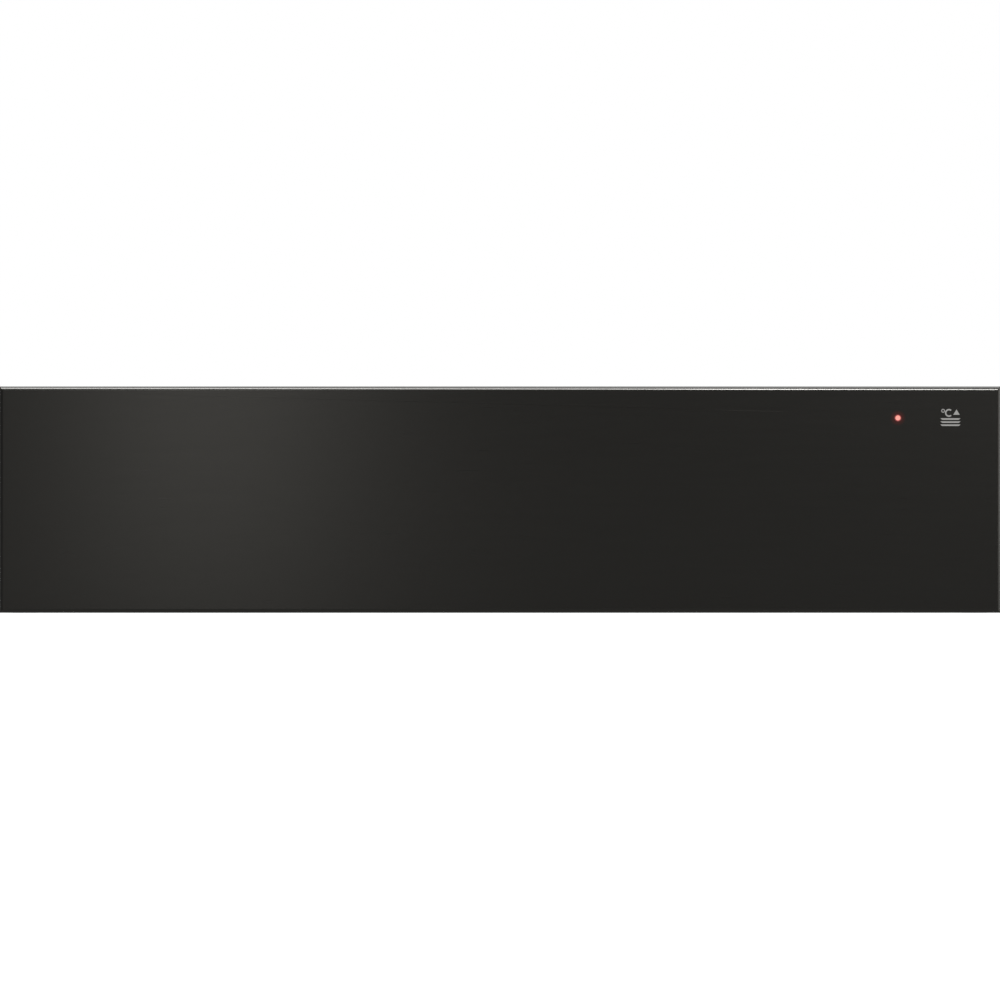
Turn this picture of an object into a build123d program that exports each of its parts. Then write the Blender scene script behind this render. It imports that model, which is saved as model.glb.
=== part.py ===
from build123d import *
from math import cos, radians, sin, sqrt, tan
import os

# A built-in, handle-less warming drawer for a 140 mm niche, opened by pushing its front.
# Origin: middle of the footprint, on the shelf.  The front faces -Y, +X is the viewer's right, +Z is up.

# ---------------------------------------------------------------- driving sizes, mm
# front
front_width = 597.0
front_height = 135.0
front_lift = 0.5  # lower edge of the front above the shelf
front_overlap = 20.5  # beyond the housing at each side
front_thickness = 20.0  # folded front, face to back
front_sheet = 1.0
front_bend = 2.4  # outer radius where the front folds back
corner_relief = 0.8  # small square notch where two folds meet
carrier_lip = 9.0
pad_edge = 14.0  # insulation inside the front, from its outer edges
pad_corner = 6.0
pad_play = 2.4  # behind the insulation
pad_box_gap = 4.0
# housing
top_step = 1.5  # top of the housing below the upper edge of the front
housing_sheet = 1.0
housing_bend = 1.6
front_gap = 4.0  # back of the closed front to the housing's flanges
flange_inset = 2.5  # side flanges, screwed to the furniture, inside the front's edges
base_lip = 12.0
front_lip = 16.0
bead_rise = 1.5
bead_width = 14.0
bead_length = 180.0
bead_pitch = 170.0
ceiling_drop = 16.0  # warm cavity's ceiling below the top of the housing
ceiling_lip = 6.0
insulation_corner = 4.0
rear_bay = 65.0  # depth of the motor bay behind the warm cavity
wall_foot = 12.0
vent_length = 44.0
vent_width = 4.0
vent_pitch = 12.0
vent_count = 5
vent_right = 150.0
gland_edge = 68.0  # from the housing's left side
gland_height = 40.0
gland_barrel = 8.0
gland_nut = 12.0
gland_nut_thickness = 5.0
gland_tail = 7.0
# drawer
tray_bottom = 24.0
tray_headroom = 10.0  # upper edge of the tray below the warm cavity's ceiling
tray_rear_gap = 42.0  # back of the tray to the warm cavity's rear wall
tray_sheet = 1.0
tray_corner = 12.0
tray_floor_radius = 8.0
tray_rim = 5.0
air_gate_side = 99.0  # from the tray's side to the gate in its rear wall
air_gate_drop = 38.0
air_gate_radius = 10.0
mat_thickness = 2.0
mat_margin = 3.0
# runners, 45 mm ball-bearing slides of three members
runner_length = 450.0
runner_inset = 5.0  # front end of the runners behind the flanges
runner_rear_gap = 1.5  # before the warm cavity's rear wall
runner_height = 45.7
runner_thickness = 12.7
runner_sheet = 1.2
ball_radius = 2.0
ball_clearance = 0.15
ball_spacing = 60.0
ball_count = 3
cage_sheet = 0.8
cage_length = 160.0
cage_start = 140.0  # front end of the cages behind the front end of the runners
outer_flat = 9.0  # where each flange ends and its slanted lip starts, from the side wall
middle_flat = 9.4
inner_flat = 6.4
outer_slant = 1.9
middle_slant = 1.2
inner_slant = 1.3
outer_ball_across = 6.35
inner_ball_across = 7.4
inner_cage_reach = 1.0  # beyond the middle member's flanges
bracket_setback = 4.0  # front end of the tray's brackets behind the runners' ends
# push latch
press_stroke = 3.0
latch_width = 28.0
latch_length = 62.0
latch_height = 18.0
latch_rear_gap = 2.5  # before the tray's rear wall
latch_corner = 4.0
latch_edge = 2.0
latch_ear = 9.0
latch_ear_thickness = 3.0
plunger_radius = 4.6
plunger_length = 54.0
plunger_reach = 8.0
plunger_height = 11.0
plunger_cap = 3.0
plunger_edge = 1.0
plunger_end_play = 1.0
striker_width = 24.0
striker_sheet = 1.5
striker_foot = 26.0
striker_play = 5.0  # each side, in the base pan's front lip
striker_drop = 1.0  # floor of that notch below the striker
# hot air
grille_gap = 1.0  # under the warm cavity's ceiling
grille_lift = 6.0  # above the base pan
grille_side_gap = 10.0  # inside the tray's air gate
impeller_play = 8.8  # inside the heater's ring
impeller_width = 14.0
impeller_setback = 8.0  # behind the grille
blade_count = 14
blade_inner_radius = 19.0
blade_sheet = 1.0
blade_sweep = 24.0  # degrees from the blade's root to its tip
hub_radius = 8.0
heater_tube_radius = 3.2
heater_opening = 24.0  # degrees from the lowest point of the ring to each end
heater_bend = 9.0
heater_tail = 6.0  # behind the cavity's rear wall
heater_flange_rim = 4.2
heater_flange_thickness = 1.5
grille_depth = 31.0
grille_play = 0.8
grille_slot_length = 20.0
grille_slot_width = 4.0
grille_slot_radius = 27.0
grille_slot_count = 16
shaft_radius = 3.0
rotor_radius = 12.7
stack_length = 20.0
motor_standoff = 12.0
bridge_thickness = 3.0
bridge_radius = 7.0
pillar_inset = 6.0
pillar_radius = 4.0
shaft_tail = 6.0  # behind the motor's rear bridge
shaft_chamfer = 0.5
stack_half = 28.0
stack_above = 24.0
stack_below = 46.0
stack_bar = 12.0
stack_corner = 4.0
window_height = 16.0
window_half = 17.0
coil_wall = 4.0
# temperature sensor and cut-out on the warm cavity's rear wall
sensor_gap = 20.0  # left of the grille
sensor_drop = 20.0  # below the ceiling
sensor_radius = 2.0
sensor_setback = 6.0  # its tip behind the grille's face
sensor_nut = 5.5
sensor_nut_thickness = 4.0
cutout_inset = 38.0  # from the grille's right end
cutout_drop = 26.0  # below the ceiling
cutout_flange_length = 32.0
cutout_flange_width = 12.0
cutout_flange_thickness = 1.5
cutout_radius = 9.5
cutout_length = 10.0
tab_pitch = 9.0
tab_width = 6.3
tab_thickness = 1.0
tab_length = 8.0
# boards and terminals in the motor bay
board_edge = 113.0  # from the housing's right side to the middle of the board
board_length = 120.0
board_width = 40.0
board_tray_height = 8.0
board_tray_wall = 1.6
board_tray_corner = 3.0
board_play = 2.0
transformer_length = 26.0
transformer_width = 30.0
transformer_left = 34.0
relay_length = 19.0
relay_width = 15.0
relay_pitch = 18.0
relay_height = 16.0
capacitor_radius = 6.0
capacitor_right = 22.0
connector_length = 10.0
connector_width = 32.0
connector_right = 44.0
connector_height = 11.0
terminal_length = 36.0
terminal_width = 18.0
terminal_height = 18.0
terminal_corner = 2.0
terminal_forward = 8.0  # before the middle of the bay
terminal_pit_radius = 3.2
terminal_pit_pitch = 11.0
terminal_pit_depth = 8.0
# signal light and touch field, from the photograph
light_edge = 61.4  # from the front's right edge
light_drop = 18.8  # below the upper edge of the front
light_radius = 1.6
light_collar = 1.4
touch_edge = 29.6
touch_size = 16.0
touch_corner = 2.0
touch_wall = 2.5
touch_face = 1.0
box_edge = 46.5
box_drop = 1.0  # its middle below the light
box_width = 86.0
box_height = 27.0
box_depth = 14.0
box_wall = 1.6
chip_size = 9.0
chip_left = 28.0
segment_length = 3.0
segment_width = 1.6
segment_pitch = 6.0
segment_count = 3
chip_height = 1.4
board_thickness = 1.6
board_setback = 6.0
# seal
seal_width = 8.0
seal_bore_radius = 1.1
seal_corner = 14.0
seal_lift = 1.0  # above the middle of the base pan's front lip
# cables
cable_radius = 2.0
cable_gap = 40.0  # from the grille's left end to where the control cable leaves the motor bay
clip_wall = 1.0
clip_length = 8.0
clip_foot_width = 16.0
clip_foot = 1.5
lead_rise = 0.4
harness_radius = 3.0
harness_bend = 30.0
harness_run = 60.0
harness_gap = 6.0  # before the rear panel's bend
harness_rise = 1.0
harness_start_rise = 6.0
cord_bore_radius = 4.2
# fits
slip = 0.3  # between pieces that move past each other or are set loosely
hole_play = 0.15  # round a screw
bearing_play = 0.08  # round the fan's shaft
# screws
screw_radius = 1.9
screw_head_radius = 3.4
screw_head_height = 1.5
rim_screw_radius = 1.4
screw_pitch = 165.0
carrier_screw_pitch = 190.0
carrier_screw_drop = 22.0  # below the tray's upper edge
rear_screw_edge = 30.0  # from the side walls
carcass_hole_radius = 2.25
carcass_hole_edge = 8.0  # from the flange's outer edge
carcass_hole_inset = 30.0  # from the flange's lower and upper ends

# ---------------------------------------------------------------- places worked out from them
housing_width = front_width - 2 * front_overlap
housing_height = front_lift + front_height - top_step
flange_width = front_overlap - flange_inset
overall_depth = (
    front_thickness + front_gap + runner_inset + runner_length + runner_rear_gap
    + rear_bay + housing_sheet + screw_head_height
)  # front face to the rear screw heads
front_y = -overall_depth / 2
carrier_y = front_y + front_thickness
flange_y = carrier_y + front_gap
rear_panel_y = overall_depth / 2 - screw_head_height - housing_sheet
housing_length = rear_panel_y - flange_y
housing_middle_y = (rear_panel_y + flange_y) / 2
wall_outer = housing_width / 2
wall_inner = wall_outer - housing_sheet
front_middle_z = front_lift + front_height / 2
ceiling_z = housing_height - ceiling_drop
cavity_rear_y = rear_panel_y - rear_bay
tray_rear_y = cavity_rear_y - tray_rear_gap
tray_depth = tray_rear_y - carrier_y
tray_middle_y = (tray_rear_y + carrier_y) / 2
tray_middle = (0, tray_middle_y)
tray_width = 2 * (wall_inner - runner_thickness - slip - tray_rim)
tray_top = ceiling_z - tray_headroom
tray_height = tray_top - tray_bottom
air_gate_width = tray_width - 2 * air_gate_side
rim_z = tray_top - tray_sheet
runner_y = flange_y + runner_inset
runner_axis_height = (tray_bottom + tray_top) / 2
latch_front = tray_rear_y - latch_rear_gap - latch_length
light_right = front_width / 2 - light_edge
light_z = front_lift + front_height - light_drop
touch_right = front_width / 2 - touch_edge
box_right = front_width / 2 - box_edge
box_front_y = front_y + front_sheet
box_z = light_z - box_drop
board_y = box_front_y + board_setback
cable_low_z = housing_sheet + cable_radius + slip
lead_z = (front_lip + tray_bottom) / 2 + lead_rise  # over the base pan's front lip, under the tray
grille_width = air_gate_width - 2 * grille_side_gap
grille_y = cavity_rear_y - grille_depth
grille_half = (ceiling_z - grille_gap - housing_sheet - grille_lift) / 2
fan_height = housing_sheet + grille_lift + grille_half
heater_ring_radius = grille_half - housing_sheet - grille_play - heater_tube_radius
impeller_radius = heater_ring_radius - heater_tube_radius - impeller_play
impeller_y = grille_y + housing_sheet + impeller_setback
heater_y = impeller_y + impeller_width / 2
wall_back_y = cavity_rear_y + housing_sheet
motor_y = wall_back_y + motor_standoff
gland_x = -wall_outer + gland_edge
cable_left = grille_width / 2 + cable_gap
board_x = wall_outer - board_edge
bay_middle_y = (wall_back_y + wall_foot + rear_panel_y) / 2

REARWARD = (0, 1, 0)
FORWARD = (0, -1, 0)
RIGHT = (1, 0, 0)


def upright(y):
    """Plane across the drawer at depth y: local x is X, local y is Z."""
    return Plane.XZ.offset(-y)


def sideways(x):
    """Plane along the drawer at x: local x is Y, local y is Z."""
    return Plane.YZ.offset(x)


def level(z):
    """Level plane at height z."""
    return Plane.XY.offset(z)


def finish(piece, name):
    """Label a finished piece and write it."""
    piece.label = name
    export_step(piece, f"parts/{name}.step")


def mirrored(piece):
    """The same piece for the other side of the drawer."""
    with BuildPart() as other:
        mirror(piece, about=Plane.YZ)
    return other.part


def discs(plane, places, radius):
    """Round faces on a plane, one at each place."""
    with BuildSketch(plane) as faces:
        with Locations(*places):
            Circle(radius)
    return faces.sketch


def pan_screws(plane, places, head, shank, grip, side=1):
    """A group of screws: heads on the plane's side given by side, shanks the other way."""
    with BuildPart() as group:
        extrude(discs(plane, places, head), amount=side * screw_head_height)
        extrude(discs(plane, places, shank), amount=-side * grip)
    return group.part


def tube(path_points, bends, radius):
    """A round tube along straight runs that are joined by tangent arcs."""
    with BuildPart() as run:
        with BuildLine() as path:
            FilletPolyline(*path_points, radius=bends)
        with BuildSketch(Plane(origin=path.wire() @ 0, z_dir=path.wire() % 0)):
            Circle(radius)
        sweep(path=path.wire())
    return run.part


os.makedirs("parts", exist_ok=True)

# ---------------------------------------------------------------- screw places
carrier_screws = [(x, tray_top - carrier_screw_drop)
                  for x in (-carrier_screw_pitch, 0, carrier_screw_pitch)]
rim_screw_x = (tray_width + tray_rim) / 2
rim_screws = [(x, tray_middle_y + y) for x in (-rim_screw_x, rim_screw_x)
              for y in (-screw_pitch, 0, screw_pitch)]
runner_screws = [(tray_middle_y + y, runner_axis_height) for y in (-screw_pitch, 0, screw_pitch)]
lip_screw_z = (housing_bend + base_lip) / 2
wall_screws_low = [(y, lip_screw_z) for y in (-screw_pitch, 0, screw_pitch)]
wall_screws_high = [(y, housing_height - lip_screw_z) for y in (-screw_pitch, 0, screw_pitch)]
rear_screw_x = wall_inner - rear_screw_edge
rear_screws = [(x, z) for x in (-rear_screw_x, rear_screw_x)
               for z in (lip_screw_z, housing_height - lip_screw_z)]
carcass_x = wall_outer + flange_width - carcass_hole_edge
carcass_screws = [(carcass_x, z) for z in (carcass_hole_inset, housing_height - carcass_hole_inset)]

# ---------------------------------------------------------------- drawer front
with BuildPart() as front_panel:
    with BuildSketch(upright(front_y)):
        with Locations((0, front_middle_z)):
            Rectangle(front_width, front_height)
    extrude(amount=front_thickness, dir=REARWARD)
    fillet(front_panel.faces().sort_by(Axis.Y)[0].edges(), radius=front_bend)
    offset(amount=-front_sheet, openings=front_panel.faces().sort_by(Axis.Y)[-1])
    with BuildSketch(upright(front_y)):
        with Locations((0, front_middle_z)):
            with GridLocations(front_width, front_height, 2, 2):
                Rectangle(2 * corner_relief, 2 * corner_relief)
    extrude(amount=front_bend, dir=REARWARD, mode=Mode.SUBTRACT)
    light_hole = discs(upright(front_y), [(light_right, light_z)], light_radius + slip)
    extrude(light_hole, amount=front_bend, dir=REARWARD, mode=Mode.SUBTRACT)
finish(front_panel.part, "front_panel")

with BuildPart() as front_carrier:
    with BuildSketch(upright(carrier_y)):
        with Locations((0, front_middle_z)):
            Rectangle(front_width - 2 * (front_sheet + slip), front_height - 2 * (front_sheet + slip))
    extrude(amount=carrier_lip, dir=FORWARD)
    fillet(front_carrier.faces().sort_by(Axis.Y)[-1].edges(), radius=front_bend)
    offset(amount=-front_sheet, openings=front_carrier.faces().sort_by(Axis.Y)[0])
    screw_holes = discs(upright(carrier_y), carrier_screws, screw_radius + hole_play)
    extrude(screw_holes, amount=front_sheet, dir=FORWARD, mode=Mode.SUBTRACT)
    lead_hole = discs(upright(carrier_y), [(box_right, lead_z)], cable_radius + slip)
    extrude(lead_hole, amount=front_sheet, dir=FORWARD, mode=Mode.SUBTRACT)
finish(front_carrier.part, "front_carrier")

# control box behind the front's upper right corner
with BuildPart() as control_box:
    with BuildSketch(upright(box_front_y + slip)):
        with Locations((box_right, box_z)):
            RectangleRounded(box_width, box_height, 2 * box_wall)
    extrude(amount=box_depth, dir=REARWARD)
    offset(amount=-box_wall, openings=control_box.faces().sort_by(Axis.Y)[0])
    with BuildSketch(upright(board_y + board_thickness)):
        with Locations((box_right, box_z)):
            with GridLocations(box_width - 8 * box_wall, box_height - 6 * box_wall, 2, 2):
                Circle(1.5 * box_wall)
    extrude(until=Until.NEXT, dir=REARWARD)
finish(control_box.part, "control_box")

with BuildPart() as control_board:
    with BuildSketch(upright(board_y)):
        with Locations((box_right, box_z)):
            RectangleRounded(
                box_width - 2 * (box_wall + slip), box_height - 2 * (box_wall + slip), 2 * box_wall
            )
    extrude(amount=board_thickness, dir=REARWARD)
    with BuildSketch(upright(board_y)):
        with Locations((box_right - chip_left, box_z)):
            Rectangle(chip_size, chip_size)
        with Locations((box_right, box_z)):
            with GridLocations(0, segment_pitch, 1, segment_count):
                Rectangle(segment_length, segment_width)
    extrude(amount=chip_height, dir=FORWARD)
finish(control_board.part, "control_board")

with BuildPart() as status_lens:
    collar = discs(upright(board_y), [(light_right, light_z)], light_radius + light_collar)
    extrude(collar, amount=board_setback - slip, dir=FORWARD)
    rod = discs(upright(board_y), [(light_right, light_z)], light_radius)
    extrude(rod, amount=board_y - front_y, dir=FORWARD)
finish(status_lens.part, "status_lens")

with BuildPart() as touch_sensor:
    with BuildSketch(upright(board_y)):
        with Locations((touch_right, light_z)):
            RectangleRounded(touch_size, touch_size, touch_corner)
            RectangleRounded(
                touch_size - 2 * touch_wall, touch_size - 2 * touch_wall, touch_corner / 2,
                mode=Mode.SUBTRACT,
            )
    extrude(amount=board_setback - slip, dir=FORWARD)
    with BuildSketch(upright(box_front_y + slip)):
        with Locations((touch_right, light_z)):
            RectangleRounded(touch_size, touch_size, touch_corner)
    extrude(amount=touch_face, dir=REARWARD)
finish(touch_sensor.part, "touch_sensor")

pad_front_y = front_y + front_sheet + slip
pad_back_y = carrier_y - front_sheet - pad_play
pad_right = box_right - box_width / 2 - pad_box_gap
pad_left = -front_width / 2 + pad_edge
with BuildPart() as front_insulation:
    with BuildSketch(upright(pad_front_y)):
        with Locations(((pad_left + pad_right) / 2, front_middle_z)):
            RectangleRounded(pad_right - pad_left, front_height - 2 * pad_edge, pad_corner)
    extrude(amount=pad_back_y - pad_front_y, dir=REARWARD)
finish(front_insulation.part, "front_insulation")

# hollow silicone seal round the mouth, on the back of the front
seal_height = front_gap - slip
seal_half_width = wall_outer + seal_width
seal_low = front_lip / 2 + seal_lift
seal_high = housing_height - ceiling_drop / 2
with BuildPart() as door_seal:
    with BuildLine(upright(carrier_y)) as seal_path:
        FilletPolyline(
            (-seal_half_width, seal_low),
            (seal_half_width, seal_low),
            (seal_half_width, seal_high),
            (-seal_half_width, seal_high),
            radius=seal_corner,
            close=True,
        )
    seal_start = seal_path.wire() @ 0
    seal_heading = seal_path.wire() % 0
    with BuildSketch(Plane(origin=seal_start, x_dir=REARWARD, z_dir=seal_heading)):
        with Locations((seal_height / 2, 0)):
            RectangleRounded(seal_height, seal_width, seal_height / 3)
            Circle(seal_bore_radius, mode=Mode.SUBTRACT)
    sweep(path=seal_path.wire())
finish(door_seal.part, "door_seal")

front_screw_grip = tray_sheet + front_sheet
finish(
    pan_screws(upright(carrier_y + tray_sheet), carrier_screws, screw_head_radius, screw_radius,
               front_screw_grip, side=-1),
    "front_screws",
)

# ---------------------------------------------------------------- drawer tray
with BuildPart() as drawer_tray:
    with BuildSketch(level(tray_bottom)):
        with Locations(tray_middle):
            RectangleRounded(tray_width, tray_depth, tray_corner)
    extrude(amount=tray_height)
    fillet(drawer_tray.faces().sort_by(Axis.Z)[0].edges(), radius=tray_floor_radius)
    offset(amount=-tray_sheet, openings=drawer_tray.faces().sort_by(Axis.Z)[-1])
    with BuildSketch(level(rim_z)):
        with Locations((0, tray_middle_y + tray_rim / 2)):
            Rectangle(tray_width + 2 * tray_rim, tray_depth + tray_rim)
        with Locations(tray_middle):
            RectangleRounded(
                tray_width - 2 * tray_sheet,
                tray_depth - 2 * tray_sheet,
                tray_corner - tray_sheet,
                mode=Mode.SUBTRACT,
            )
    extrude(amount=tray_sheet)
    rim_corners = drawer_tray.edges().filter_by(Axis.Z).group_by(Axis.Y)[-1]
    fillet(rim_corners, radius=2 * tray_rim)
    rim_holes = discs(level(rim_z), rim_screws, rim_screw_radius + hole_play)
    extrude(rim_holes, amount=tray_sheet, mode=Mode.SUBTRACT)
    with BuildSketch(upright(tray_rear_y + tray_rim)):
        with Locations((0, tray_top)):
            RectangleRounded(air_gate_width, 2 * air_gate_drop, air_gate_radius)
    extrude(amount=2 * tray_rim + tray_sheet, dir=FORWARD, mode=Mode.SUBTRACT)
    front_holes = discs(upright(carrier_y), carrier_screws, screw_radius + hole_play)
    extrude(front_holes, amount=tray_sheet, dir=REARWARD, mode=Mode.SUBTRACT)
finish(drawer_tray.part, "drawer_tray")

mat_edge = tray_floor_radius + mat_margin
with BuildPart() as anti_slip_mat:
    with BuildSketch(level(tray_bottom + tray_sheet)):
        with Locations(tray_middle):
            RectangleRounded(tray_width - 2 * mat_edge, tray_depth - 2 * mat_edge, tray_corner)
    extrude(amount=mat_thickness)
    fillet(anti_slip_mat.faces().sort_by(Axis.Z)[-1].edges(), radius=mat_thickness / 3)
finish(anti_slip_mat.part, "anti_slip_mat")

# the tray hangs by its rim on two brackets, which are screwed to the runners' inner members
bracket_outer = wall_inner - runner_thickness
bracket_inner = tray_width / 2 + slip
bracket_front = runner_y + bracket_setback
with BuildPart() as tray_bracket_right:
    with BuildSketch(upright(bracket_front)):
        with BuildLine():
            FilletPolyline(
                (bracket_outer, runner_axis_height - runner_height / 2),
                (bracket_outer, rim_z),
                (bracket_inner, rim_z),
                radius=2 * runner_sheet,
            )
            offset(amount=runner_sheet, side=Side.LEFT)
        make_face()
    extrude(amount=tray_rear_y - bracket_front, dir=REARWARD)
    ledge_holes = discs(level(rim_z), rim_screws, rim_screw_radius + hole_play)
    extrude(ledge_holes, amount=-runner_sheet, mode=Mode.SUBTRACT)
    side_holes = discs(sideways(bracket_outer), runner_screws, screw_radius + hole_play)
    extrude(side_holes, amount=-runner_sheet, mode=Mode.SUBTRACT)
finish(tray_bracket_right.part, "tray_bracket_right")
finish(mirrored(tray_bracket_right.part), "tray_bracket_left")

finish(
    pan_screws(level(tray_top), rim_screws, tray_rim / 2, rim_screw_radius, tray_sheet + runner_sheet),
    "tray_screws",
)
bracket_screws_right = pan_screws(
    sideways(bracket_outer - runner_sheet), runner_screws, screw_head_radius, screw_radius,
    2 * runner_sheet, side=-1
)
with BuildPart() as bracket_screws:
    add(bracket_screws_right)
    mirror(bracket_screws_right, about=Plane.YZ)
finish(bracket_screws.part, "bracket_screws")

# ---------------------------------------------------------------- runners
outer_half = runner_height / 2
row_gap = 2 * (ball_radius + ball_clearance)
middle_half = outer_half - runner_sheet - row_gap
inner_half = middle_half - runner_sheet - row_gap
outer_row = middle_half + row_gap / 2
inner_row = inner_half + row_gap / 2
outer_cage_web = runner_sheet + ball_clearance
middle_web = outer_cage_web + cage_sheet + ball_clearance
inner_cage_web = middle_web + runner_sheet + ball_clearance
cage_y = runner_y + cage_start
cage_middle_y = cage_y + cage_length / 2


def seat(across, up):
    """Place in a runner's section: across from the side wall, up from the runner's axis."""
    return (wall_inner - across, runner_axis_height + up)


def runner_member(web, flat, edge, half, slant, side, length):
    """One member of the right runner: web, two flanges, and a slanted ball lip on each."""
    with BuildPart() as member:
        with BuildSketch(upright(runner_y)):
            with BuildLine():
                FilletPolyline(
                    seat(edge, half + slant),
                    seat(flat, half),
                    seat(web, half),
                    seat(web, -half),
                    seat(flat, -half),
                    seat(edge, -half - slant),
                    radius=1.4 * runner_sheet,
                )
                offset(amount=runner_sheet, side=side)
            make_face()
        extrude(amount=length, dir=REARWARD)
    return member.part


def pierced_web(member, web):
    """A runner member with the screw holes in its web."""
    with BuildPart() as pierced:
        add(member)
        holes = discs(sideways(wall_inner - web), runner_screws, screw_radius + hole_play)
        extrude(holes, amount=runner_sheet, both=True, mode=Mode.SUBTRACT)
    return pierced.part


def ball_cage(web, end, row, ball_across):
    """A ball cage of the right runner, with its two rows of balls."""
    half = row + cage_sheet / 2
    ball_x = wall_inner - ball_across
    ball_ys = [cage_middle_y + (i - (ball_count - 1) / 2) * ball_spacing for i in range(ball_count)]
    pockets = [(ball_x, y) for y in ball_ys]
    with BuildPart() as cage:
        with BuildSketch(upright(cage_y)):
            with BuildLine():
                FilletPolyline(
                    seat(end, half), seat(web, half), seat(web, -half), seat(end, -half),
                    radius=1.5 * cage_sheet,
                )
                offset(amount=cage_sheet, side=Side.RIGHT)
            make_face()
        extrude(amount=cage_length, dir=REARWARD)
        pocket_faces = discs(level(runner_axis_height), pockets, ball_radius + ball_clearance)
        extrude(pocket_faces, amount=2 * half, both=True, mode=Mode.SUBTRACT)
        ball_centres = [(ball_x, y, runner_axis_height + z) for y in ball_ys for z in (-row, row)]
        with Locations(*ball_centres):
            Sphere(ball_radius)
    return cage.part


outer_member = runner_member(
    0, outer_flat, outer_flat + outer_slant, outer_half, -outer_slant, Side.RIGHT, runner_length
)
runner_outer_right = pierced_web(outer_member, 0)
runner_middle_right = runner_member(
    middle_web, middle_flat, middle_flat + middle_slant, middle_half, middle_slant, Side.RIGHT,
    runner_length
)
# the inner member is shorter, because the press takes it further back than the others
inner_member = runner_member(
    runner_thickness, inner_flat, inner_flat - inner_slant, inner_half, -inner_slant, Side.LEFT,
    runner_length - press_stroke
)
runner_inner_right = pierced_web(inner_member, runner_thickness)
outer_cage_right = ball_cage(outer_cage_web, outer_flat, outer_row, outer_ball_across)
inner_cage_right = ball_cage(inner_cage_web, middle_flat + inner_cage_reach, inner_row, inner_ball_across)
for right_piece, name in (
    (runner_outer_right, "runner_outer"),
    (runner_middle_right, "runner_middle"),
    (runner_inner_right, "runner_inner"),
    (outer_cage_right, "outer_cage"),
    (inner_cage_right, "inner_cage"),
):
    finish(right_piece, f"{name}_right")
    finish(mirrored(right_piece), f"{name}_left")

# ---------------------------------------------------------------- push latch under the tray
tip_y = latch_front - plunger_reach
latch_floor = housing_sheet
latch_ears = [(x, latch_front + latch_length / 2) for x in
              (-(latch_width + latch_ear) / 2, (latch_width + latch_ear) / 2)]
with BuildPart() as latch_body:
    with BuildSketch(level(latch_floor)):
        with Locations((0, latch_front + latch_length / 2)):
            RectangleRounded(latch_width, latch_length, latch_corner)
    extrude(amount=latch_height)
    fillet(latch_body.faces().sort_by(Axis.Z)[-1].edges(), radius=latch_edge)
    with BuildSketch(level(latch_floor)):
        with Locations((0, latch_front + latch_length / 2)):
            SlotOverall(latch_width + 2 * latch_ear, latch_length / 3)
    extrude(amount=latch_ear_thickness)
    ear_holes = discs(level(latch_floor), latch_ears, screw_radius + hole_play)
    extrude(ear_holes, amount=latch_ear_thickness, mode=Mode.SUBTRACT)
    plunger_bore = discs(upright(latch_front), [(0, plunger_height)], plunger_radius + slip)
    bore_depth = plunger_length - plunger_reach + press_stroke + plunger_end_play
    extrude(plunger_bore, amount=bore_depth, dir=REARWARD, mode=Mode.SUBTRACT)
finish(latch_body.part, "latch_body")

with BuildPart() as latch_slider:
    extrude(discs(upright(tip_y), [(0, plunger_height)], plunger_radius), amount=plunger_length,
            dir=REARWARD)
    extrude(discs(upright(tip_y), [(0, plunger_height)], 1.4 * plunger_radius), amount=plunger_cap,
            dir=REARWARD)
    fillet(latch_slider.faces().sort_by(Axis.Y)[0].edges(), radius=plunger_edge)
finish(latch_slider.part, "latch_slider")

striker_y = tip_y - slip - striker_sheet
striker_low_z = plunger_height - 0.8 * plunger_radius
with BuildPart() as latch_striker:
    with BuildSketch(sideways(-striker_width / 2)):
        with BuildLine():
            FilletPolyline(
                (striker_y + striker_sheet, striker_low_z),
                (striker_y + striker_sheet, tray_bottom),
                (striker_y - striker_foot, tray_bottom),
                radius=2 * striker_sheet,
            )
            offset(amount=striker_sheet, side=Side.LEFT)
        make_face()
    extrude(amount=striker_width)
finish(latch_striker.part, "latch_striker")

# ---------------------------------------------------------------- housing
with BuildPart() as base_pan:
    with BuildSketch(level(0)):
        with Locations((0, housing_middle_y)):
            Rectangle(2 * wall_inner, housing_length)
    extrude(amount=front_lip)
    fillet(base_pan.faces().sort_by(Axis.Z)[0].edges(), radius=housing_bend)
    offset(amount=-housing_sheet, openings=base_pan.faces().sort_by(Axis.Z)[-1])
    with BuildSketch(level(base_lip)):
        with Locations((0, housing_middle_y + 2 * housing_bend)):
            Rectangle(2 * wall_inner, housing_length)
    extrude(amount=front_lip, mode=Mode.SUBTRACT)
    with BuildSketch(level(housing_sheet)):
        with Locations((0, flange_y + 2 * bead_width + bead_length / 2)):
            with GridLocations(bead_pitch, 0, 3, 1):
                SlotOverall(bead_length, bead_width, rotation=90)
    extrude(amount=bead_rise)
    with BuildSketch(level(0)):
        with Locations((0, flange_y + 2 * bead_width + bead_length / 2)):
            with GridLocations(bead_pitch, 0, 3, 1):
                SlotOverall(bead_length - 2 * housing_sheet, bead_width - 2 * housing_sheet, rotation=90)
    extrude(amount=bead_rise, mode=Mode.SUBTRACT)
    with BuildSketch(upright(flange_y)):
        with Locations((0, striker_low_z - striker_drop + front_lip / 2)):
            RectangleRounded(striker_width + 2 * striker_play, front_lip, 2 * striker_drop)
    extrude(amount=2 * housing_sheet, dir=REARWARD, mode=Mode.SUBTRACT)
    latch_holes = discs(level(0), latch_ears, screw_radius + hole_play)
    extrude(latch_holes, amount=housing_sheet, mode=Mode.SUBTRACT)
    low_holes = discs(sideways(-wall_inner), wall_screws_low, screw_radius + hole_play)
    extrude(low_holes, amount=2 * wall_inner, mode=Mode.SUBTRACT)
    rear_holes = discs(upright(rear_panel_y), rear_screws, screw_radius + hole_play)
    extrude(rear_holes, amount=2 * housing_sheet, dir=FORWARD, mode=Mode.SUBTRACT)
finish(base_pan.part, "base_pan")

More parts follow.
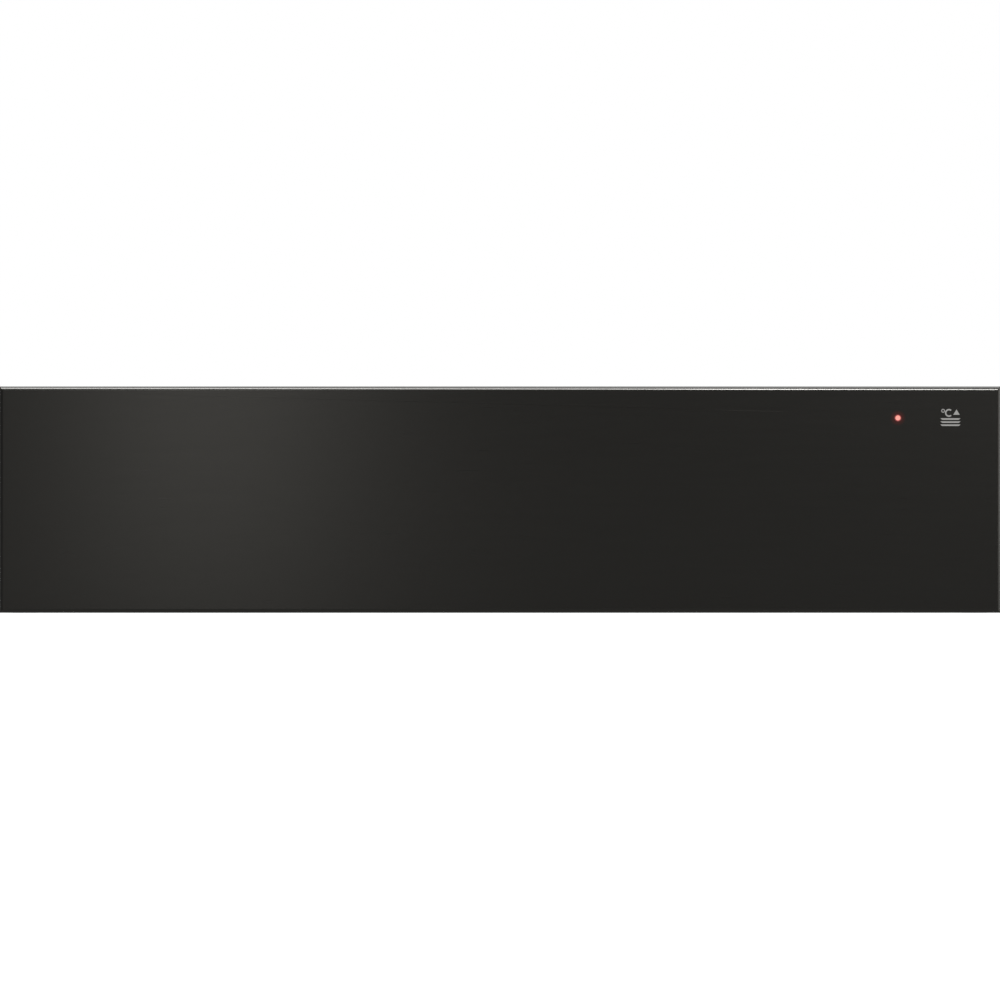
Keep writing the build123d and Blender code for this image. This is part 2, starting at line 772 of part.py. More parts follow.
with BuildPart() as top_cover:
    with BuildSketch(level(housing_height)):
        with Locations((0, housing_middle_y)):
            Rectangle(2 * wall_inner, housing_length)
    extrude(amount=-ceiling_drop)
    fillet(top_cover.faces().sort_by(Axis.Z)[-1].edges(), radius=housing_bend)
    offset(amount=-housing_sheet, openings=top_cover.faces().sort_by(Axis.Z)[0])
    with BuildSketch(level(housing_height - base_lip)):
        with Locations((0, housing_middle_y + 2 * housing_bend)):
            Rectangle(2 * wall_inner, housing_length)
    extrude(amount=-ceiling_drop, mode=Mode.SUBTRACT)
    with BuildSketch(level(housing_height - housing_sheet)):
        with Locations((0, housing_middle_y)):
            with GridLocations(bead_pitch, 0, 3, 1):
                SlotOverall(2 * bead_length, bead_width, rotation=90)
    extrude(amount=-bead_rise)
    with BuildSketch(level(housing_height)):
        with Locations((0, housing_middle_y)):
            with GridLocations(bead_pitch, 0, 3, 1):
                SlotOverall(
                    2 * bead_length - 2 * housing_sheet, bead_width - 2 * housing_sheet, rotation=90
                )
    extrude(amount=-bead_rise, mode=Mode.SUBTRACT)
    high_holes = discs(sideways(-wall_inner), wall_screws_high, screw_radius + hole_play)
    extrude(high_holes, amount=2 * wall_inner, mode=Mode.SUBTRACT)
    rear_holes = discs(upright(rear_panel_y), rear_screws, screw_radius + hole_play)
    extrude(rear_holes, amount=2 * housing_sheet, dir=FORWARD, mode=Mode.SUBTRACT)
finish(top_cover.part, "top_cover")

side_holes_places = runner_screws + wall_screws_low + wall_screws_high
with BuildPart() as side_wall_right:
    with BuildSketch(level(0)):
        with BuildLine():
            FilletPolyline(
                (wall_outer + flange_width, flange_y),
                (wall_inner, flange_y),
                (wall_inner, rear_panel_y),
                radius=housing_bend + housing_sheet,
            )
            offset(amount=housing_sheet, side=Side.RIGHT)
        make_face()
    extrude(amount=housing_height)
    flange_corners = side_wall_right.edges().filter_by(Axis.Y).group_by(Axis.X)[-1]
    fillet(flange_corners, radius=4 * housing_sheet)
    carcass_holes = discs(upright(flange_y), carcass_screws, carcass_hole_radius)
    extrude(carcass_holes, amount=housing_sheet, dir=REARWARD, mode=Mode.SUBTRACT)
    wall_holes = discs(sideways(wall_inner), side_holes_places, screw_radius + hole_play)
    extrude(wall_holes, amount=housing_sheet, mode=Mode.SUBTRACT)
finish(side_wall_right.part, "side_wall_right")
finish(mirrored(side_wall_right.part), "side_wall_left")

wall_screws_right = pan_screws(
    sideways(wall_outer), runner_screws, screw_head_radius, screw_radius, housing_sheet + runner_sheet
)
housing_screws_right = pan_screws(
    sideways(wall_outer), wall_screws_low + wall_screws_high, screw_head_radius, screw_radius,
    2 * housing_sheet
)
with BuildPart() as wall_screws:
    add(wall_screws_right)
    mirror(wall_screws_right, about=Plane.YZ)
finish(wall_screws.part, "wall_screws")
rear_panel_outer_y = rear_panel_y + housing_sheet
with BuildPart() as housing_screws:
    add(housing_screws_right)
    mirror(housing_screws_right, about=Plane.YZ)
    add(pan_screws(upright(rear_panel_outer_y), rear_screws, screw_head_radius, screw_radius,
                   2 * housing_sheet, side=-1))
    add(pan_screws(level(latch_floor + latch_ear_thickness), latch_ears, screw_head_radius,
                   screw_radius, latch_ear_thickness + housing_sheet))
finish(housing_screws.part, "housing_screws")

gland_middle = (gland_x, gland_height)
with BuildPart() as rear_panel:
    with BuildSketch(upright(rear_panel_y)):
        with Locations((0, housing_height / 2)):
            RectangleRounded(housing_width, housing_height, housing_bend)
            with GridLocations(2 * vent_right, vent_pitch, 2, vent_count):
                SlotOverall(vent_length, vent_width, mode=Mode.SUBTRACT)
        with Locations(*rear_screws):
            Circle(screw_radius + hole_play, mode=Mode.SUBTRACT)
        with Locations(gland_middle):
            Circle(gland_barrel + slip, mode=Mode.SUBTRACT)
    extrude(amount=housing_sheet, dir=REARWARD)
finish(rear_panel.part, "rear_panel")

gland_inward = gland_nut_thickness + gland_tail
with BuildPart() as cable_gland:
    extrude(discs(upright(rear_panel_y), [gland_middle], gland_barrel),
            amount=housing_sheet + screw_head_height, dir=REARWARD)
    with BuildSketch(upright(rear_panel_y)):
        with Locations(gland_middle):
            RegularPolygon(gland_nut, 6)
    extrude(amount=gland_nut_thickness, dir=FORWARD)
    extrude(discs(upright(rear_panel_y), [gland_middle], gland_barrel), amount=gland_inward, dir=FORWARD)
    extrude(discs(upright(rear_panel_y), [gland_middle], cord_bore_radius), amount=2 * gland_inward,
            both=True, mode=Mode.SUBTRACT)
finish(cable_gland.part, "cable_gland")

ceiling_half = wall_inner - housing_sheet - slip
ceiling_front_y = flange_y + housing_sheet + slip
ceiling_rear_y = cavity_rear_y + housing_sheet
ceiling_middle = (0, (ceiling_front_y + ceiling_rear_y) / 2)
with BuildPart() as cavity_ceiling:
    with BuildSketch(level(ceiling_z)):
        with Locations(ceiling_middle):
            Rectangle(2 * ceiling_half, ceiling_rear_y - ceiling_front_y)
    extrude(amount=ceiling_lip)
    fillet(cavity_ceiling.faces().sort_by(Axis.Z)[0].edges(), radius=housing_bend)
    offset(amount=-housing_sheet, openings=cavity_ceiling.faces().sort_by(Axis.Z)[-1])
finish(cavity_ceiling.part, "cavity_ceiling")

mat_low = ceiling_z + housing_sheet
mat_high = housing_height - housing_sheet - bead_rise - slip
with BuildPart() as insulation_mat:
    with BuildSketch(level(mat_low)):
        with Locations(ceiling_middle):
            RectangleRounded(
                2 * (ceiling_half - housing_bend - slip),
                ceiling_rear_y - ceiling_front_y - 2 * (housing_bend + slip),
                insulation_corner,
            )
    extrude(amount=mat_high - mat_low)
    fillet(insulation_mat.faces().sort_by(Axis.Z)[-1].edges(), radius=0.75 * insulation_corner)
finish(insulation_mat.part, "insulation_mat")

# ---------------------------------------------------------------- hot air
opening = radians(heater_opening)
ring_end_x = heater_ring_radius * sin(opening)
ring_end_z = fan_height - heater_ring_radius * cos(opening)
leg_x = ring_end_x - heater_bend * cos(opening)
leg_z = ring_end_z - heater_bend * sin(opening)
sensor_middle = (-grille_width / 2 - sensor_gap, ceiling_z - sensor_drop)
cutout_middle = (grille_width / 2 - cutout_inset, ceiling_z - cutout_drop)

with BuildPart() as cavity_rear_wall:
    with BuildSketch(sideways(-ceiling_half)):
        with BuildLine():
            FilletPolyline(
                (cavity_rear_y, ceiling_z),
                (cavity_rear_y, housing_sheet + slip),
                (cavity_rear_y + wall_foot, housing_sheet + slip),
                radius=housing_bend,
            )
            offset(amount=housing_sheet, side=Side.LEFT)
        make_face()
    extrude(amount=2 * ceiling_half)
    with BuildSketch(upright(cavity_rear_y)):
        with Locations((0, fan_height)):
            Circle(hub_radius)
        with Locations((-leg_x, leg_z), (leg_x, leg_z)):
            Circle(heater_tube_radius + slip)
        with Locations(sensor_middle):
            Circle(sensor_radius + slip)
        with Locations((-cable_left, cable_low_z)):
            Circle(cable_radius + slip)
    extrude(amount=housing_sheet, dir=REARWARD, mode=Mode.SUBTRACT)
finish(cavity_rear_wall.part, "cavity_rear_wall")

with BuildPart() as fan_grille:
    with BuildSketch(sideways(-grille_width / 2)):
        with BuildLine():
            FilletPolyline(
                (cavity_rear_y, fan_height + grille_half),
                (grille_y, fan_height + grille_half),
                (grille_y, fan_height - grille_half),
                (cavity_rear_y, fan_height - grille_half),
                radius=3 * housing_bend,
            )
            offset(amount=housing_sheet, side=Side.LEFT)
        make_face()
    extrude(amount=grille_width)
    with BuildSketch(upright(grille_y)):
        with Locations((0, fan_height)):
            with PolarLocations(grille_slot_radius, grille_slot_count):
                SlotOverall(grille_slot_length, grille_slot_width)
    extrude(amount=housing_sheet, dir=REARWARD, mode=Mode.SUBTRACT)
finish(fan_grille.part, "fan_grille")

blade_outer_radius = impeller_radius - blade_sheet
blade_tip = (
    blade_outer_radius * cos(radians(blade_sweep)),
    blade_outer_radius * sin(radians(blade_sweep)),
)
with BuildSketch() as blade:
    with BuildLine():
        RadiusArc((blade_inner_radius, 0), blade_tip, blade_outer_radius)
        offset(amount=blade_sheet, side=Side.LEFT)
    make_face()
with BuildPart() as fan_impeller:
    with BuildSketch(upright(impeller_y)):
        with Locations((0, fan_height)):
            with PolarLocations(0, blade_count):
                add(blade.sketch)
            Circle(hub_radius)
            Circle(shaft_radius + hole_play, mode=Mode.SUBTRACT)
    extrude(amount=impeller_width, dir=REARWARD)
    with BuildSketch(upright(impeller_y + impeller_width)):
        with Locations((0, fan_height)):
            Circle(impeller_radius)
            Circle(shaft_radius + hole_play, mode=Mode.SUBTRACT)
    extrude(amount=blade_sheet, dir=FORWARD)
finish(fan_impeller.part, "fan_impeller")

shaft_end_y = motor_y + stack_length + bridge_thickness + shaft_tail
with BuildPart() as fan_shaft:
    extrude(discs(upright(impeller_y), [(0, fan_height)], shaft_radius), amount=shaft_end_y - impeller_y,
            dir=REARWARD)
    chamfer(fan_shaft.edges().filter_by(GeomType.CIRCLE), length=shaft_chamfer)
finish(fan_shaft.part, "fan_shaft")

with BuildPart() as motor_rotor:
    with BuildSketch(upright(motor_y)):
        with Locations((0, fan_height)):
            Circle(rotor_radius)
            Circle(shaft_radius + hole_play, mode=Mode.SUBTRACT)
    extrude(amount=stack_length, dir=REARWARD)
finish(motor_rotor.part, "motor_rotor")

window_low = fan_height - stack_below + stack_bar
with BuildPart() as motor_stator:
    with BuildSketch(upright(motor_y)):
        with Locations((0, fan_height + (stack_above - stack_below) / 2)):
            RectangleRounded(2 * stack_half, stack_above + stack_below, stack_corner)
        with Locations((0, fan_height)):
            Circle(rotor_radius + slip, mode=Mode.SUBTRACT)
        with Locations((0, window_low + window_height / 2)):
            Rectangle(2 * window_half, window_height, mode=Mode.SUBTRACT)
    extrude(amount=stack_length, dir=REARWARD)
finish(motor_stator.part, "motor_stator")

with BuildPart() as motor_coil:
    with BuildSketch(sideways(-window_half + slip)):
        with Locations((motor_y + stack_length / 2, window_low - stack_bar / 2)):
            RectangleRounded(
                stack_length + 2 * (slip + coil_wall), stack_bar + 2 * (slip + coil_wall), coil_wall
            )
            Rectangle(stack_length + 2 * slip, stack_bar + 2 * slip, mode=Mode.SUBTRACT)
    extrude(amount=2 * (window_half - slip))
finish(motor_coil.part, "motor_coil")

pillar_x = stack_half - pillar_inset
with BuildPart() as motor_bracket:
    for face_y, direction in ((motor_y, FORWARD), (motor_y + stack_length, REARWARD)):
        with BuildSketch(upright(face_y)):
            with Locations((0, fan_height)):
                SlotOverall(2 * (pillar_x + bridge_radius), 2 * bridge_radius)
                Circle(shaft_radius + bearing_play, mode=Mode.SUBTRACT)
        extrude(amount=bridge_thickness, dir=direction)
    pillar_places = [(-pillar_x, fan_height), (pillar_x, fan_height)]
    pillars = discs(upright(motor_y), pillar_places, pillar_radius)
    extrude(pillars, amount=motor_standoff, dir=FORWARD)
finish(motor_bracket.part, "motor_bracket")

with BuildPart() as heating_element:
    with BuildLine(upright(heater_y)) as ring_path:
        CenterArc((0, fan_height), heater_ring_radius, -90 + heater_opening, 360 - 2 * heater_opening)
    for hand in (1, -1):
        end_point = Vector(hand * ring_end_x, heater_y, ring_end_z)
        toward = Vector(-hand * cos(opening), 0, -sin(opening))
        with BuildLine() as leg_path:
            bend_end = end_point + heater_bend * (toward + Vector(*REARWARD))
            bend_middle = end_point + heater_bend * (
                Vector(*REARWARD) + (toward - Vector(*REARWARD)) / sqrt(2)
            )
            ThreePointArc(end_point, bend_middle, bend_end)
            Line(bend_end, (bend_end.X, wall_back_y + heater_tail, bend_end.Z))
        with BuildSketch(Plane(origin=end_point, z_dir=toward)):
            Circle(heater_tube_radius)
        sweep(path=leg_path.wire())
    with BuildSketch(Plane(origin=ring_path.wire() @ 0, z_dir=ring_path.wire() % 0)):
        Circle(heater_tube_radius)
    sweep(path=ring_path.wire())
    with BuildSketch(upright(cavity_rear_y)):
        with Locations((0, leg_z)):
            SlotOverall(2 * (leg_x + heater_flange_rim), 2 * heater_flange_rim)
    extrude(amount=heater_flange_thickness, dir=FORWARD)
finish(heating_element.part, "heating_element")

with BuildPart() as safety_thermostat:
    with BuildSketch(upright(wall_back_y)):
        with Locations(cutout_middle):
            SlotOverall(cutout_flange_length, cutout_flange_width)
    extrude(amount=cutout_flange_thickness, dir=REARWARD)
    extrude(discs(upright(wall_back_y), [cutout_middle], cutout_radius), amount=cutout_length,
            dir=REARWARD)
    with BuildSketch(upright(wall_back_y + cutout_length)):
        with Locations(cutout_middle):
            with GridLocations(tab_pitch, 0, 2, 1):
                Rectangle(tab_thickness, tab_width)
    extrude(amount=tab_length, dir=REARWARD)
finish(safety_thermostat.part, "safety_thermostat")

sensor_tip_y = grille_y + sensor_setback
with BuildPart() as temperature_sensor:
    extrude(discs(upright(sensor_tip_y), [sensor_middle], sensor_radius),
            amount=wall_back_y + sensor_nut_thickness - sensor_tip_y, dir=REARWARD)
    with BuildSketch(upright(wall_back_y)):
        with Locations(sensor_middle):
            RegularPolygon(sensor_nut, 6)
    extrude(amount=sensor_nut_thickness, dir=REARWARD)
finish(temperature_sensor.part, "temperature_sensor")

# ---------------------------------------------------------------- electrics
board_middle = (board_x, bay_middle_y)
with BuildPart() as board_tray:
    with BuildSketch(level(housing_sheet)):
        with Locations(board_middle):
            RectangleRounded(board_length, board_width, board_tray_corner)
    extrude(amount=board_tray_height)
    offset(amount=-board_tray_wall, openings=board_tray.faces().sort_by(Axis.Z)[-1])
finish(board_tray.part, "board_tray")

board_floor = housing_sheet + board_tray_height + slip
board_top = board_floor + board_thickness
with BuildPart() as power_board:
    with BuildSketch(level(board_floor)):
        with Locations(board_middle):
            Rectangle(board_length - 2 * board_play, board_width - board_play)
    extrude(amount=board_thickness)
    with BuildSketch(level(board_top)):
        with Locations((board_x - transformer_left, bay_middle_y)):
            Rectangle(transformer_length, transformer_width)
        with Locations(board_middle):
            with GridLocations(0, relay_pitch, 1, 2):
                Rectangle(relay_length, relay_width)
    extrude(amount=relay_height)
    with BuildSketch(level(board_top)):
        with Locations((board_x + capacitor_right, bay_middle_y)):
            Circle(capacitor_radius)
        with Locations((board_x + connector_right, bay_middle_y)):
            Rectangle(connector_length, connector_width)
    extrude(amount=connector_height)
finish(power_board.part, "power_board")

terminal_y = bay_middle_y - terminal_forward
with BuildPart() as terminal_block:
    with BuildSketch(level(housing_sheet)):
        with Locations((gland_x, terminal_y)):
            RectangleRounded(terminal_length, terminal_width, terminal_corner)
    extrude(amount=terminal_height)
    with BuildSketch(level(housing_sheet + terminal_height)):
        with Locations((gland_x, terminal_y)):
            with GridLocations(terminal_pit_pitch, 0, 3, 1):
                Circle(terminal_pit_radius)
    extrude(amount=-terminal_pit_depth, mode=Mode.SUBTRACT)
finish(terminal_block.part, "terminal_block")

harness_z = housing_sheet + harness_radius + slip
harness_y = rear_panel_y - housing_bend - harness_gap
harness_start_x = gland_x + terminal_length / 2
harness_end_x = board_x - board_length / 2
harness_points = [
    (harness_start_x + slip, terminal_y, harness_z + harness_start_rise),
    (harness_start_x + harness_run, terminal_y, harness_z + harness_rise),
    (-harness_run, harness_y, harness_z),
    (harness_run / 2, harness_y, harness_z),
    (harness_end_x - harness_run / 2, bay_middle_y, harness_z + harness_rise),
    (harness_end_x - slip, bay_middle_y, harness_z + harness_rise),
]
finish(tube(harness_points, harness_bend, harness_radius), "wiring_harness")

cable_points = [
    (-cable_left, cavity_rear_y - slip, cable_low_z),
    (-cable_left, 160.0, cable_low_z),
    (-cable_left + 6, 110.0, cable_low_z),
    (-158.0, 64.0, cable_low_z),
    (-112.0, 40.0, cable_low_z),
    (-60.0, 44.0, cable_low_z),
    (-10.0, 26.0, cable_low_z),
    (44.0, 30.0, cable_low_z),
    (96.0, 46.0, cable_low_z),
    (134.0, 84.0, cable_low_z),
    (148.0, 134.0, cable_low_z + 1),
    (160.0, 170.0, cable_low_z + 6),
    (182.0, 188.0, lead_z - 5),
    (204.0, 170.0, lead_z - 1),
    (206.0, 132.0, lead_z),
    (206.0, 84.0, lead_z),
    (203.0, 32.0, lead_z),
    (203.0, -22.0, lead_z),
    (207.0, -74.0, lead_z),
    (226.0, -118.0, lead_z),
    (240.0, -160.0, lead_z),
    (240.0, -208.0, lead_z),
    (box_right, -234.0, lead_z),
    (box_right, carrier_y, lead_z),
]
# clips hold the cable under the tray, on its runs straight towards the front
clip_runs = ((15, 14), (17, 16), (21, 20))


def cable_bends(points):
    """For each corner of a route, 0.45 of its shorter run over the tangent of half the turn."""
    radii = []
    for before, corner, after in zip(points, points[1:], points[2:]):
        run_in = Vector(*corner) - Vector(*before)
        run_out = Vector(*after) - Vector(*corner)
        half_turn = radians(run_in.get_angle(run_out)) / 2
        radii.append(0.45 * min(run_in.length, run_out.length) / tan(half_turn))
    return radii


cable_radii = cable_bends(cable_points)
print("control cable bends:", [round(radius) for radius in cable_radii])
finish(tube(cable_points, cable_radii, cable_radius), "control_cable")

with BuildPart() as cable_clips:
    for front_end, rear_end in clip_runs:
        clip_x, clip_front_y, _ = cable_points[front_end]
        clip_middle_y = (clip_front_y + cable_points[rear_end][1]) / 2
        with BuildSketch(upright(clip_middle_y - clip_length / 2)):
            with Locations((clip_x, lead_z)):
                Circle(cable_radius + slip + clip_wall)
            with Locations((clip_x, tray_bottom - clip_foot / 2)):
                Rectangle(clip_foot_width, clip_foot)
            with Locations((clip_x, lead_z)):
                Circle(cable_radius + slip, mode=Mode.SUBTRACT)
        extrude(amount=clip_length, dir=REARWARD)
finish(cable_clips.part, "cable_clips")

lead_y = carrier_y - box_depth + cable_radius + housing_sheet
lead_points = [
    (box_right, carrier_y, lead_z),
    (box_right, lead_y, lead_z),
    (box_right, lead_y, box_z - box_height / 2 - slip),
]
finish(tube(lead_points, 3 * cable_radius, cable_radius), "drawer_lead")
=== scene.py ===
import logging
import math
import random
from dataclasses import dataclass
from enum import Enum
from functools import cache
from itertools import product
from typing import Callable, Iterable, Sequence

import bmesh
import bpy
from mathutils import Matrix, Vector


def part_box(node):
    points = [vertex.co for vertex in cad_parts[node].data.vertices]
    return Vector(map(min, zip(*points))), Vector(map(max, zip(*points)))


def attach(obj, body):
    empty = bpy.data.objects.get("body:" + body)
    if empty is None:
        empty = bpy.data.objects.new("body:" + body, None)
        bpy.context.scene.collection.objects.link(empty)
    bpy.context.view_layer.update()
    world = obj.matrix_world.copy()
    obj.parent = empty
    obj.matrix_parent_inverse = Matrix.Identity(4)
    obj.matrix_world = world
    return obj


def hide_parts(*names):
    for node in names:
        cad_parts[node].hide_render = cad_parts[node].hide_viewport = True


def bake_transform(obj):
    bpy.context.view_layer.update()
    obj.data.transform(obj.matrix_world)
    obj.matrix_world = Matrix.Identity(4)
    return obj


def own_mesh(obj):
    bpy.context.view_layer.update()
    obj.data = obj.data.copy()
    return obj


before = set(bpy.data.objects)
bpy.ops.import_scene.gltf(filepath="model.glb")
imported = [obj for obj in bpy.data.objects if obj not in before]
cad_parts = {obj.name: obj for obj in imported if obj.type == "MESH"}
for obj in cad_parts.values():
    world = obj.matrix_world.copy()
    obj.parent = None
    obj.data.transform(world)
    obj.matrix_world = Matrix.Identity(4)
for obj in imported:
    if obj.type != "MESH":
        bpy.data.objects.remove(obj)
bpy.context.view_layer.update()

LOG = logging.getLogger("warming_drawer")
MM = 0.001
FULL_TURN = 2 * math.pi
AXES = (Vector((1, 0, 0)), Vector((0, 1, 0)), Vector((0, 0, 1)))
UPRIGHT = (AXES[0], AXES[2])
LEVEL = (AXES[0], AXES[1])
STEEP = 0.9  # a direction's Z above which it counts as upright

Point = tuple[float, float, float]
Size = tuple[float, float, float]
Pair = tuple[float, float]
Arc = tuple[float, float, float, float]
Colour = tuple[float, float, float]
Socket = bpy.types.NodeSocket
Inputs = dict[str | int, object]
Radius = float | Callable[[float], float]

BLACK = (0.0, 0.0, 0.0)
WHITE = (1.0, 1.0, 1.0)


class Body(Enum):
    """The frame's bodies that pieces ride on."""

    HOUSING = "housing"
    LATCH = "push_latch"
    DRAWER = "drawer"


class Slot(Enum):
    """The record's material slots for the new pieces."""

    SCREW_STEEL = "screw_steel"
    MAT = "mat_silicone"
    SEAL = "seal_silicone"
    WOOL = "insulation_wool"
    WHITE_PLASTIC = "white_plastic"
    LIGHT = "red_light"
    CABLE = "cable_sheath"


class Grain(Enum):
    """The way that a brushed or rolled surface runs."""

    ALONG_X = (0.02, 1.0, 1.0)
    ALONG_Y = (1.0, 0.02, 1.0)

    def lines(self, count: float) -> list[float]:
        """Scale of a pattern of fine lines, as many per metre, that runs this way."""
        return [count * share for share in self.value]


# ---------- node graphs
class Nodes:
    """A node tree, with short calls to add nodes and feed their inputs."""

    def __init__(self, tree: bpy.types.NodeTree) -> None:
        """Empty a tree."""
        self.tree = tree
        self.tree.nodes.clear()

    def feed(self, socket: Socket, value: object) -> None:
        """Link an input to another node's socket, or set it to a constant.

        Args:
            socket: the input.
            value: a socket, a number, a vector or a colour of three channels.
        """
        if isinstance(value, Socket):
            self.tree.links.new(value, socket)
        else:
            socket.default_value = (*value, 1.0) if socket.type == "RGBA" else value

    def add(self, kind: str, inputs: Inputs | None = None, **values: object) -> bpy.types.Node:
        """Add a node.

        Args:
            kind: the node's type name.
            inputs: what goes into its inputs, by name or number.
            values: properties of the node, by name.

        Returns:
            The new node.
        """
        node = self.tree.nodes.new(kind)
        for key, value in values.items():
            setattr(node, key, value)
        for key, value in (inputs or {}).items():
            self.feed(node.inputs[key], value)
        return node

    def split(self, vector: Socket) -> bpy.types.bpy_prop_collection:
        """The X, Y and Z sockets of a vector, by name."""
        return self.add("ShaderNodeSeparateXYZ", {"Vector": vector}).outputs

    def spread(self, value: Socket, low: float, high: float, span: Pair = (0.0, 1.0)) -> Socket:
        """Map a value from a span to low..high, and hold it there outside the span."""
        limits = {"From Min": span[0], "From Max": span[1], "To Min": low, "To Max": high}
        return self.add("ShaderNodeMapRange", {**limits, "Value": value}).outputs["Result"]


class Graph(Nodes):
    """A material's nodes round one principled shader."""

    def __init__(self, name: str, **constants: object) -> None:
        """Start a material.

        Args:
            name: the material's name.
            constants: the shader's own inputs, underscores standing for spaces.
        """
        self.material = bpy.data.materials.new(name)
        self.material.use_nodes = True
        super().__init__(self.material.node_tree)
        self.shader = self.add("ShaderNodeBsdfPrincipled")
        self.add("ShaderNodeOutputMaterial", {"Surface": self.shader.outputs["BSDF"]})
        self.set(**constants)

    def set(self, **values: object) -> None:
        """Feed the shader's own inputs, underscores standing for spaces."""
        for key, value in values.items():
            self.feed(self.shader.inputs[key.replace("_", " ")], value)

    def here(self) -> Socket:
        """The shaded place in object coordinates."""
        return self.add("ShaderNodeTexCoord").outputs["Object"]

    def place(self, scale: float | Sequence[float]) -> Socket:
        """The shaded place, scaled to repeats per metre: one scale for all, or one each for X, Y and Z."""
        scales = (scale,) * 3 if isinstance(scale, float) else scale
        return self.add("ShaderNodeMapping", {"Vector": self.here(), "Scale": scales}).outputs["Vector"]

    def noise(self, scale: float | Sequence[float], detail: float = 2.0, rough: float = 0.55) -> Socket:
        """A noise value of so many cells per metre, with octaves of finer noise as strong as `rough`."""
        inputs = {"Scale": 1.0, "Detail": detail, "Roughness": rough, "Vector": self.place(scale)}
        return self.add("ShaderNodeTexNoise", inputs).outputs["Fac"]

    def away(self, middle: Point, radius: float) -> Socket:
        """How far a place is from a line along Y, as a multiple of a radius.

        Args:
            middle: a point on the line.
            radius: the distance that counts as 1.

        Returns:
            The distance's socket.
        """
        share = (1 / radius, 0.0, 1 / radius)
        offset = self.add("ShaderNodeVectorMath", {0: self.here(), 1: middle}, operation="SUBTRACT")
        flat = self.add("ShaderNodeVectorMath", {0: offset.outputs["Vector"], 1: share}, operation="MULTIPLY")
        length = self.add("ShaderNodeVectorMath", {0: flat.outputs["Vector"]}, operation="LENGTH")
        return length.outputs["Value"]

    def ramp(self, value: Socket, stops: Sequence[tuple[float, Colour]], way: str = "LINEAR") -> Socket:
        """Colours along a value.

        Args:
            value: the socket that chooses among them.
            stops: places along the value and their colours, in order.
            way: how the ramp goes from one colour to the next.

        Returns:
            The colour socket.
        """
        node = self.add("ShaderNodeValToRGB", {"Fac": value})
        bar = node.color_ramp
        bar.interpolation = way
        bar.elements.remove(bar.elements[1])
        bar.elements[0].position = stops[0][0]
        bar.elements[0].color = (*stops[0][1], 1.0)
        for start, colour in stops[1:]:
            bar.elements.new(start).color = (*colour, 1.0)
        return node.outputs["Color"]

    def shades(self, value: Socket, colour: Colour, dark: float, light: float) -> Socket:
        """A colour made `dark` times as bright where a pattern is 0, and `light` times where it is 1."""
        return self.ramp(value, ((0.0, tinted(colour, dark)), (1.0, tinted(colour, light))))

    def mix(self, kind: str, share: Socket, first: object, second: object) -> Socket:
        """Blend from one colour or number to another.

        Args:
            kind: "RGBA" for colours, "FLOAT" for numbers.
            share: the socket that says how much of the second shows.
            first: the first, or its socket.
            second: the second, or its socket.

        Returns:
            The blend's socket.
        """
        node = self.add("ShaderNodeMix", data_type=kind)
        used = [socket for socket in node.inputs if socket.enabled]
        for socket, value in zip(used, (share, first, second)):
            self.feed(socket, value)
        return next(socket for socket in node.outputs if socket.enabled)

    def bump(self, value: Socket, height: float, strength: float = 1.0) -> None:
        """Raise the surface by a pattern, on top of any bump that is there.

        Args:
            value: the pattern.
            height: how high its white stands, in metres.
            strength: share of the effect that shows.
        """
        normal = self.shader.inputs["Normal"]
        node = self.add("ShaderNodeBump", {"Distance": height, "Strength": strength, "Height": value})
        if normal.is_linked:
            self.feed(node.inputs["Normal"], normal.links[0].from_socket)
        self.feed(normal, node.outputs["Normal"])


def tinted(colour: Colour, factor: float) -> Colour:
    """A colour made lighter or darker by a factor."""
    return tuple(min(1.0, channel * factor) for channel in colour)


# ---------- finishes
@dataclass(frozen=True)
class BrushedMetal:
    """Bare or plated metal with a fine one-way grain."""

    name: str
    colour: Colour
    roughness: float = 0.3
    swing: float = 0.06
    grain: Grain = Grain.ALONG_X
    lines: float = 2500.0
    depth: float = 0.004 * MM
    cloud: float = 0.06
    cloud_scale: float = 14.0
    anisotropy: float = 0.5

    def material(self) -> bpy.types.Material:
        """Make the material.

        Returns:
            The finished material.
        """
        graph = Graph(self.name, Metallic=1.0, Anisotropic=self.anisotropy, Anisotropic_Rotation=0.25)
        fine = graph.noise(self.grain.lines(self.lines))
        broad = graph.noise(self.cloud_scale)
        graph.set(
            Base_Color=graph.shades(broad, self.colour, 1 - self.cloud, 1 + self.cloud),
            Roughness=graph.spread(fine, self.roughness - self.swing, self.roughness + self.swing),
        )
        graph.bump(fine, self.depth)
        return graph.material


